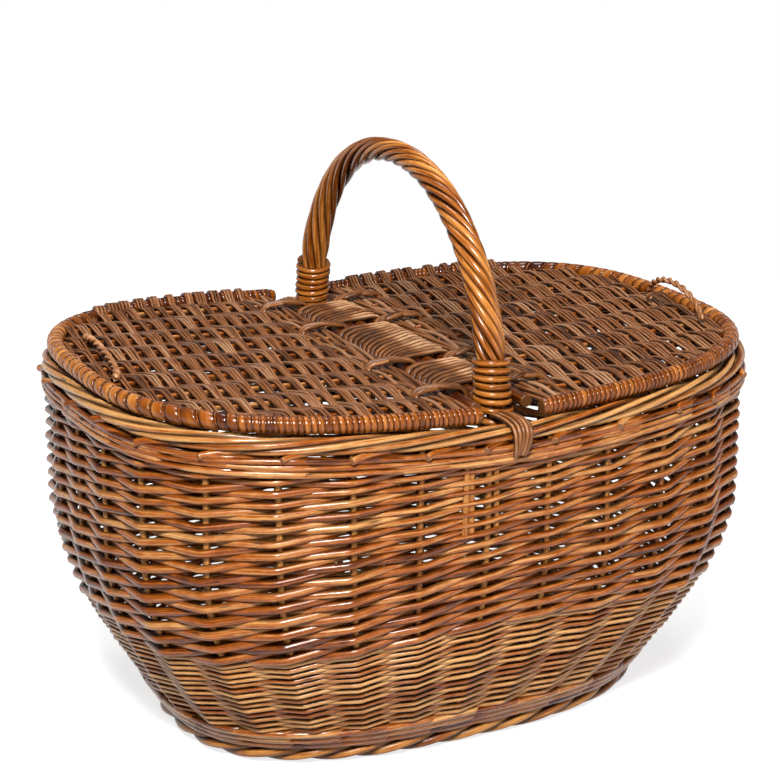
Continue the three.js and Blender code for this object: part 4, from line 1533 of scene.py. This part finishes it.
@dataclass
class Lid:
    """Half lid: a bent hoop bound with skein, a woven panel on sticks, hinge loops and a pull loop."""

    dresser: Dresser
    side: Side
    axis_x: float = 18.88
    axis_z: float = 256.05
    tilt: float = math.radians(2.8)
    hoop_half_length: float = 234.0
    hoop_half_width: float = 175.0
    hoop_squareness: float = 3.0
    hoop_end_x: float = 26.2
    end_overlap: float = 8.0
    hoop_lift: float = 1.79
    hoop_radius: float = 5.2
    hoop_points: int = 121
    fine_points: int = 721
    tip_tone: float = 0.62
    side_tone: float = 0.36
    back_darker: float = 0.25
    winding_tone_spread: float = 0.07
    winding_margins: tuple[float, float] = (4.0, 6.0)
    winding_pitches: tuple[float, float] = (3.7, 10.2)
    winding_spread: float = 0.13
    winding_steps: int = 12
    wide_reach: tuple[float, float] = (150.0, 175.0)
    pale_reach: tuple[float, float] = (60.0, 175.0)
    skein_half: float = 0.6
    skein_lift: float = 0.15
    skein_cover: float = 0.93
    binding_rise: float = 0.5
    hoop_wrap: tuple[float, float] = (160.0, -10.0)
    hinge_reach: float = 11.2
    hinge_radius: float = 4.6
    hinge_strands: int = 5
    hinge_strand_radius: float = 1.6
    hinge_lay: float = 190.0
    hinge_core_points: int = 41
    hinge_points: int = 121
    hinge_tone: tuple[float, float] = (0.5, 0.12)
    stick_count: int = 9
    stick_spacing: float = 36.0
    stick_radius: float = 1.8
    stick_gap: float = 0.5
    stick_inset: float = 5.0
    stick_waver: float = 0.25
    stick_points: int = 25
    stick_tone: tuple[float, float] = (0.45, 0.1)
    weaver_radius: float = 1.15
    weaver_spacing: float = 1.9
    weave_swing: float = 1.2
    weave_middle: float = 1.6
    weave_gap: float = 1.0
    weave_inset: float = 7.0
    weave_sharpness: float = 0.94
    weaver_end_inset: float = 5.5
    shortest_half_weaver: float = 20.0
    points_per_stick: int = 8
    flat_near_hinge: tuple[float, float] = (24.0, 44.0)
    hinge_swing: float = 0.5
    group_sizes: tuple[int, ...] = (2, 3, 3, 3, 4)
    steepest_edge: float = 2.2
    group_spread: float = 0.05
    group_tone: tuple[float, float] = (0.5, 0.12)
    weaver_lag: float = 1.5
    weaver_shift: float = 0.15
    weaver_spread: float = 0.08
    weaver_tone_spread: float = 0.13
    edge_rods: int = 3
    edge_rod_radius: float = 1.8
    loop_places: tuple[float, ...] = (-126.0, -54.0, 54.0, 126.0)
    loop_reach: float = 13.0
    loop_strands: int = 3
    loop_half_width: float = 2.9
    loop_strand_radius: float = 1.7
    loop_room: float = 0.5
    loop_bulge: float = 1.4
    loop_weave: float = 0.55
    loop_tone: tuple[float, float] = (0.3, 0.12)
    bar_rod_radius: float = 4.5
    pull_inset: float = 18.0
    pull_lift: float = 7.4
    pull_hold: float = 0.9
    pull_tone_spread: float = 0.06
    pull_points: int = 97

    @property
    def name(self) -> str:
        """Name of the half."""
        return self.side.name.lower()

    @property
    def body(self) -> Body:
        """Body that the lid's pieces move with."""
        return Body[f"{self.side.name}_LID"]

    def world(self, local: np.ndarray) -> np.ndarray:
        """Points of the lid's own frame in the basket's frame.

        Args:
            local: Distance from the hinge axis, Y, and height over the lid's plane.

        Returns:
            Points of the basket's frame.
        """
        out, y, up = local.T
        x = self.axis_x + out * math.cos(self.tilt) - up * math.sin(self.tilt)
        z = self.axis_z + out * math.sin(self.tilt) + up * math.cos(self.tilt)
        return np.column_stack([self.side.value * x, y, z])

    def place(
        self, node: str, rods: list[Rod], slot: Slot, sides: int = 8, warp: Optional[Warp] = None
    ) -> None:
        """Places a piece whose rods are in the lid's own frame.

        Args:
            node: CAD node without the side's name.
            rods: Rods in the lid's frame, or in a space of their own where a warp is given.
            slot: Slot of the finish.
            sides: Sides of a rod.
            warp: Change from the rods' own space to the lid's frame.
        """

        def into(places: np.ndarray) -> np.ndarray:
            """Places of the rods' own space in the basket's frame."""
            return self.world(warp(places) if warp else places)

        # Panel rods face straight up, which places their painted shade at the edges between them.
        upward = straight_up if slot in (Slot.BODY, Slot.LID) else None
        self.dresser.place(f"{self.name}_{node}", rods, slot, self.body, sides, into, upward)

    def build(self) -> None:
        """Makes every piece of the lid."""
        self.build_hoop()
        self.build_panel()
        self.build_hinge()
        self.build_pull_loop()

    def hoop_line(self, count: int) -> np.ndarray:
        """Middle line of the hoop, evenly spaced.

        Args:
            count: Number of points.

        Returns:
            Points in the lid's frame, from the front end round the tip to the back end.
        """
        back_x = self.hoop_end_x - self.end_overlap
        front_x = back_x if self.side is Side.RIGHT else self.hoop_end_x
        front, back = (math.atan2(self.edge(x - self.axis_x, 0.0), x) for x in (front_x, back_x))
        angle = np.linspace(-front, back, self.fine_points)
        x, y = outline(angle, self.hoop_half_length, self.hoop_half_width, self.hoop_squareness)
        length = np.concatenate([[0.0], np.cumsum(np.hypot(np.diff(x), np.diff(y)))])
        even = np.linspace(0, length[-1], count)
        x, y = np.interp(even, length, x), np.interp(even, length, y)
        return np.column_stack([x - self.axis_x, y, np.full(count, self.hoop_lift)])

    def edge(self, out: float, inset: float) -> float:
        """Half width of the hoop's inside at a distance from the hinge axis, less an inset."""
        half_length, half_width = self.hoop_half_length - inset, self.hoop_half_width - inset
        return half_chord(out + self.axis_x, half_length, half_width, self.hoop_squareness)

    def tip(self, y: float, inset: float) -> float:
        """Distance of the hoop's inside from the hinge axis at a Y, less an inset."""
        half_length, half_width = self.hoop_half_length - inset, self.hoop_half_width - inset
        return half_chord(y, half_width, half_length, self.hoop_squareness) - self.axis_x

    def build_hoop(self) -> None:
        """Hoop and the skein wound round it: wide bands at the tip, narrow turns along the sides."""
        rng = np.random.default_rng(SEED + 30 + self.side.value)
        line = self.hoop_line(self.hoop_points)
        hoop = Rod(line, np.full(len(line), self.hoop_radius), 0.35)
        self.place("lid_hoop", [hoop], Slot.VARNISHED, 10)
        lengths = lengths_along(line)
        starts = [self.winding_margins[0]]
        while starts[-1] < lengths[-1] - self.winding_margins[1]:
            from_tip = abs(starts[-1] - lengths[-1] / 2)
            wide = 1 - smooth_share(np.array(from_tip), *self.wide_reach)
            pitch = blend_values(*self.winding_pitches, wide)
            starts.append(starts[-1] + pitch * rng.normal(1.0, self.winding_spread))
        starts = np.array(starts)
        turns = len(starts) - 1
        reach = self.hoop_radius + self.skein_lift
        count = turns * self.winding_steps + 1
        wound = np.arange(count) / self.winding_steps
        turn = 2 * math.pi * (wound - 0.25)
        pitch = 2 * self.skein_half / self.skein_cover
        coil = np.column_stack([wound * pitch, reach * np.cos(turn), reach * np.sin(turn)])

        def along_hoop(places: np.ndarray) -> np.ndarray:
            """Lays the straight winding along the hoop, each turn at its own pitch.

            Args:
                places: Places in the straight winding.

            Returns:
                Places in the lid's frame.
            """
            distance = np.interp(places[:, 0] / pitch, np.arange(turns + 1), starts)
            middle = points_at(distance, lengths, line)
            ahead = points_at(np.minimum(distance + 1, lengths[-1]), lengths, line)
            behind = points_at(np.maximum(distance - 1, 0), lengths, line)
            level = np.cross(unit_rows(ahead - behind), UP)
            return middle + places[:, 1:2] * level + places[:, 2:3] * UP

        near_tip = 1 - smooth_share(np.abs(starts - lengths[-1] / 2), *self.pale_reach)
        tones = blend_values(self.side_tone, self.tip_tone, near_tip)
        tones = tones + rng.normal(0, self.winding_tone_spread, turns + 1)
        tones = tones - self.back_darker * smooth_share(starts / lengths[-1], 0.6, 0.75)
        tones = np.repeat(tones, self.winding_steps)[:count]
        outward = coil * (TO_BACK + UP) / reach
        skein = Rod(coil, np.full(count, self.skein_half), np.clip(tones, DARKEST, PALEST), outward=outward)
        self.place("lid_hoop_binding", [skein], Slot.VARNISHED, 8, along_hoop)

    def build_panel(self) -> None:
        """Sticks and the groups of fine weavers that pass over and under them."""
        rng = np.random.default_rng(SEED + 40 + self.side.value)
        places = (np.arange(self.stick_count) - (self.stick_count - 1) / 2) * self.stick_spacing
        for index, y in enumerate(places):
            start = self.hinge_reach + self.hinge_radius + self.stick_gap
            out = np.linspace(start, self.tip(y, self.stick_inset), self.stick_points)
            up = self.weave_middle + self.stick_waver * np.sin(out / 9 + index)
            line = np.column_stack([out, np.full(len(out), y), up])
            stick = Rod(line, np.full(len(out), self.stick_radius), tone_row(rng, *self.stick_tone))
            self.place(f"lid_stick_{index + 1}", [stick], Slot.BODY)
        out = self.hinge_reach + self.hinge_radius + self.weave_gap
        weavers = []
        group = 0
        while out < self.tip(0.0, self.weave_inset):
            if group < self.edge_rods:
                count, radius, pitch = 1, self.edge_rod_radius, 2 * self.edge_rod_radius
            else:
                count, radius = int(rng.choice(self.group_sizes)), self.weaver_radius
                pitch = count * self.weaver_spacing * rng.normal(1.0, self.group_spread)
            tone = tone_row(rng, *self.group_tone)
            for member in range(count):
                place = member - (count - 1) / 2
                weavers.append(self.weaver(out + pitch / 2, group, place, radius, tone, rng))
            out += pitch
            group += 1
        weavers = [weaver for weaver in weavers if weaver is not None]
        self.place("lid_weave", weavers, Slot.LID, 6)

    def weaver(
        self, out: float, group: int, place: float, radius: float, tone: float, rng: np.random.Generator
    ) -> Optional[Rod]:
        """One weaver across the lid, spread from its fellows over a stick and drawn to them under one.

        Args:
            out: Distance of its group from the hinge axis.
            group: Number of its group.
            place: Its place from the middle of the group.
            radius: Its radius.
            tone: Tone of the group.
            rng: Source of small differences.

        Returns:
            The weaver in the lid's frame, or nothing where it would be too short.
        """
        end = self.edge(out, self.weaver_end_inset)
        if end < self.shortest_half_weaver:
            return None
        y = np.linspace(-end, end, max(int(2 * end / self.stick_spacing * self.points_per_stick), 12))
        lag = self.weaver_lag * place + rng.normal(0, 1.0)
        wave = bent_wave((y + lag) / self.stick_spacing + group, self.weave_sharpness)
        fan = 2 * radius * place * (0.92 + 0.32 * wave)
        from_hinge = smooth_share(np.array(out), *self.flat_near_hinge)
        swing = (self.stick_radius + radius) * blend_values(self.hinge_swing, self.weave_swing, from_hinge)
        up = self.weave_middle + swing * wave + rng.normal(0, self.weaver_shift)
        line = np.column_stack([out + fan + rng.normal(0, self.weaver_shift), y, up])
        width = radius * rng.normal(1.0, self.weaver_spread)
        tone = float(np.clip(tone + rng.normal(0, self.weaver_tone_spread), DARKEST, PALEST))
        outward = straight_up(line)
        slope = self.edge(out - 2, 0.0) - self.edge(out + 2, 0.0)
        if group >= self.edge_rods and wave[-1] > 0 and slope < self.steepest_edge:
            line, outward = self.over_hoop(line, out, radius)
        return Rod(line, np.full(len(line), width), tone, outward=outward)

    def over_hoop(self, line: np.ndarray, out: float, radius: float) -> tuple[np.ndarray, np.ndarray]:
        """Carries the back end of a weaver up over the bound hoop.

        Args:
            line: Middle line of the weaver.
            out: Distance of its group from the hinge axis.
            radius: Its radius.

        Returns:
            The longer line and its outward directions.
        """
        middle = self.edge(out, 0.0)
        reach = self.hoop_radius + self.binding_rise + radius
        turn = np.radians(np.linspace(*self.hoop_wrap, 8))
        spokes = np.column_stack([np.zeros(len(turn)), np.cos(turn), np.sin(turn)])
        kept = line[line[:, 1] < middle - reach - 2.0]
        arc = np.array([line[-1, 0], middle, self.hoop_lift]) + reach * spokes
        return np.vstack([kept, arc]), np.vstack([straight_up(kept), spokes])

    def build_hinge(self) -> None:
        """Rod along the hinge side and the willow loops that hold it to the cross bar."""
        rng = np.random.default_rng(SEED + 50 + self.side.value)
        half = self.hoop_half_width - self.weaver_end_inset
        y = np.linspace(-half, half, self.hinge_core_points)
        line = y[:, None] * TO_BACK + self.hinge_reach * TO_RIGHT
        reach = self.hinge_radius - self.hinge_strand_radius
        rods = [Rod(line, np.full(len(y), reach), 0.2)]
        along = np.linspace(0, 1, self.hinge_points)
        middle = blend_values(-half, half, along)[:, None] * TO_BACK + self.hinge_reach * TO_RIGHT
        radii = np.full(len(along), self.hinge_strand_radius)
        for strand in range(self.hinge_strands):
            turn = 2 * math.pi * (along * 2 * half / self.hinge_lay + strand / self.hinge_strands)
            around = np.column_stack([np.cos(turn), np.zeros(len(along)), np.sin(turn)]) * reach
            rods.append(Rod(middle + around, radii, tone_row(rng, *self.hinge_tone)))
        self.place("lid_hinge_rod", rods, Slot.LID)
        for index, middle in enumerate(self.loop_places):
            self.place(f"hinge_loop_{index + 1}", self.hinge_loop(middle, rng), Slot.SKEIN)

    def hinge_loop(self, middle: float, rng: np.random.Generator) -> list[Rod]:
        """One hinge loop: strands side by side round the bar's rod and the lid's rod.

        Args:
            middle: Y of the loop.
            rng: Source of small differences.

        Returns:
            Closed rods in the lid's frame.
        """
        radius = self.loop_strand_radius
        reach = self.bar_rod_radius + self.loop_room + radius
        turn = np.linspace(-math.pi / 2, math.pi / 2, 10)
        far_end = self.hinge_reach + self.loop_reach * rng.uniform(0.7, 1.0)
        far = np.column_stack([far_end + reach * np.cos(turn), reach * np.sin(turn)])
        near = np.column_stack([-reach * np.cos(turn), -reach * np.sin(turn)])
        bridge = np.linspace(0, 1, 8)[1:-1]
        bulge = self.loop_bulge * np.sin(bridge * math.pi)
        over = np.column_stack([blend_values(far_end, 0.0, bridge), reach + bulge])
        under = np.column_stack([blend_values(0.0, far_end, bridge), np.full(len(bridge), -reach)])
        loop = np.vstack([far, over, near, under])
        share = lengths_along(loop)
        share = share / (share[-1] + np.linalg.norm(loop[0] - loop[-1]))
        out = loop - np.column_stack([np.clip(loop[:, 0], 0.0, far_end), np.zeros(len(loop))])
        out = unit_rows(out)
        rods = []
        for strand in range(self.loop_strands):
            turn = 2 * math.pi * (2 * share + strand / self.loop_strands)
            y = middle + self.loop_half_width * np.cos(turn)
            places = loop + out * (self.loop_weave + self.loop_weave * np.sin(turn))[:, None]
            line = np.column_stack([places[:, 0], y, places[:, 1]])
            radii = np.full(len(line), radius)
            rods.append(Rod(line, radii, tone_row(rng, *self.loop_tone), closed=True))
        return rods

    def build_pull_loop(self) -> None:
        """Twisted loop to lift the lid by, nearly flat on the left lid and upright on the right one."""
        rng = np.random.default_rng(SEED + 60 + self.side.value)
        loop = PULL_LOOPS[self.side]
        foot = self.hoop_half_length - self.pull_inset - self.axis_x - loop.inset
        share = np.linspace(0, 1, self.pull_points)
        turn = share * math.pi
        out = foot + loop.skew * np.cos(turn)
        y = loop.middle - loop.span / 2 * np.cos(turn)
        up = np.array([-math.cos(loop.stand), 0.0, math.sin(loop.stand)])
        rise = loop.height * np.sin(turn)
        line = np.column_stack([out, y, np.full(len(share), self.pull_lift)]) + rise[:, None] * up
        ahead = unit_rows(np.gradient(line, axis=0))
        first = np.cross(ahead, np.cross(up, TO_BACK))
        second = np.cross(ahead, first)
        rods = []
        for strand in range(2):
            wind = 2 * math.pi * (share * loop.twists + strand / 2)
            spokes = np.cos(wind)[:, None] * first + np.sin(wind)[:, None] * second
            radii = np.full(len(share), loop.radius)
            twisted = line + self.pull_hold * loop.radius * spokes
            rods.append(Rod(twisted, radii, tone_row(rng, loop.tone, self.pull_tone_spread)))
        self.place("pull_loop", rods, Slot.SKEIN)


@dataclass(frozen=True)
class Lamp:
    """One soft lamp: its place and size in metres and its power in watts."""

    name: str
    place: tuple[float, float, float]
    size: float
    power: float


@dataclass
class Studio:
    """Camera at the photograph's place, soft lights and a white floor."""

    azimuth: float = math.radians(-26.51)
    elevation: float = math.radians(16.59)
    distance: float = 1516.29
    target: tuple[float, float, float] = (-3.84, 0.0, 225.19)
    focal_pixels: float = 2110.69
    image_width: float = 780.0
    sensor: float = 36.0
    lamps: tuple[Lamp, ...] = (
        Lamp("key", (-0.9, -1.6, 2.0), size=0.5, power=127.0),
        Lamp("fill", (0.7, -1.9, 0.5), size=0.9, power=8.0),
        Lamp("top", (0.2, 0.5, 2.2), size=0.8, power=20.0),
    )
    lamp_aim: tuple[float, float, float] = (0.0, 0.0, 0.2)
    ceiling_start: float = 0.25
    ceiling_shade: float = 0.25
    world_light: float = 0.05
    floor_radius: float = 1.35
    floor_grey: float = 0.46
    floor_glow: float = 0.78

    def build(self) -> None:
        """Makes the camera, the lights, the world and the floor."""
        scene = bpy.context.scene
        scene.view_settings.view_transform = "Standard"
        self.build_camera(scene)
        self.build_world(scene)
        self.build_lights()
        self.build_floor()

    def build_camera(self, scene: bpy.types.Scene) -> None:
        """Camera that looks at the middle of the basket.

        Args:
            scene: Scene that gets the camera.
        """
        data = bpy.data.cameras.new("camera")
        data.sensor_width = self.sensor
        data.sensor_fit = "HORIZONTAL"
        data.lens = self.focal_pixels * self.sensor / self.image_width
        data.clip_end = 50.0
        level = math.cos(self.elevation) * self.distance
        away = Vector(
            (
                level * math.sin(self.azimuth),
                -level * math.cos(self.azimuth),
                math.sin(self.elevation) * self.distance,
            )
        )
        camera = bpy.data.objects.new("camera", data)
        camera.location = (Vector(self.target) + away) * MM
        camera.rotation_euler = (-away).to_track_quat("-Z", "Y").to_euler()
        scene.collection.objects.link(camera)
        scene.camera = camera

    def build_world(self, scene: bpy.types.Scene) -> None:
        """White sweep under a darker ceiling for the camera and reflections, softer as light.

        Args:
            scene: Scene that gets the world.
        """
        world = bpy.data.worlds.new("studio")
        world.use_nodes = True
        sheet = NodeSheet(world.node_tree)
        way = sheet.add("ShaderNodeTexCoord").outputs["Generated"]
        upward = sheet.add("ShaderNodeSeparateXYZ", {0: way}).outputs[2]
        shade = sheet.ramp(upward, 0.0, self.ceiling_start, 1.0, self.ceiling_shade)
        share = sheet.ramp(sheet.seen(), 0.0, 1.0, self.world_light, 1.0)
        strength = sheet.math("MULTIPLY", shade, share)
        light = sheet.add("ShaderNodeBackground", {"Color": (1, 1, 1, 1), "Strength": strength})
        sheet.add("ShaderNodeOutputWorld", {"Surface": light.outputs[0]})
        scene.world = world

    def build_lights(self) -> None:
        """Large soft lamps: a key from the left front, a fill from the right and one from above."""
        for softbox in self.lamps:
            data = bpy.data.lights.new(softbox.name, "AREA")
            data.size = softbox.size
            data.energy = softbox.power
            lamp = bpy.data.objects.new(softbox.name, data)
            lamp.location = softbox.place
            aim = Vector(self.lamp_aim) - Vector(softbox.place)
            lamp.rotation_euler = aim.to_track_quat("-Z", "Y").to_euler()
            bpy.context.scene.collection.objects.link(lamp)

    def build_floor(self) -> None:
        """White floor that keeps the basket's shadow."""
        work = bmesh.new()
        bmesh.ops.create_circle(work, cap_ends=True, segments=64, radius=self.floor_radius)
        mesh = bpy.data.meshes.new("floor")
        work.to_mesh(mesh)
        work.free()
        floor = bpy.data.objects.new("floor", mesh)
        bpy.context.scene.collection.objects.link(floor)
        material = bpy.data.materials.new("floor")
        material.use_nodes = True
        sheet = NodeSheet(material.node_tree)
        matte = sheet.add("ShaderNodeBsdfDiffuse", {"Color": (*[self.floor_grey] * 3, 1.0)})
        strength = sheet.math("MULTIPLY", sheet.seen(), self.floor_glow)
        glow = sheet.add("ShaderNodeEmission", {"Strength": strength})
        both = sheet.add("ShaderNodeAddShader", {0: matte.outputs[0], 1: glow.outputs[0]})
        sheet.add("ShaderNodeOutputMaterial", {"Surface": both.outputs[0]})
        mesh.materials.append(material)


def main() -> None:
    """Builds the studio and every part of the basket."""
    logging.basicConfig(level=logging.INFO, format="%(name)s: %(message)s")
    Studio().build()
    dresser = Dresser()
    BasketBody(dresser).build()
    Handle(dresser).build()
    CrossBar(dresser).build()
    for side in Side:
        Lid(dresser, side).build()


if __name__ == "__main__":
    main()
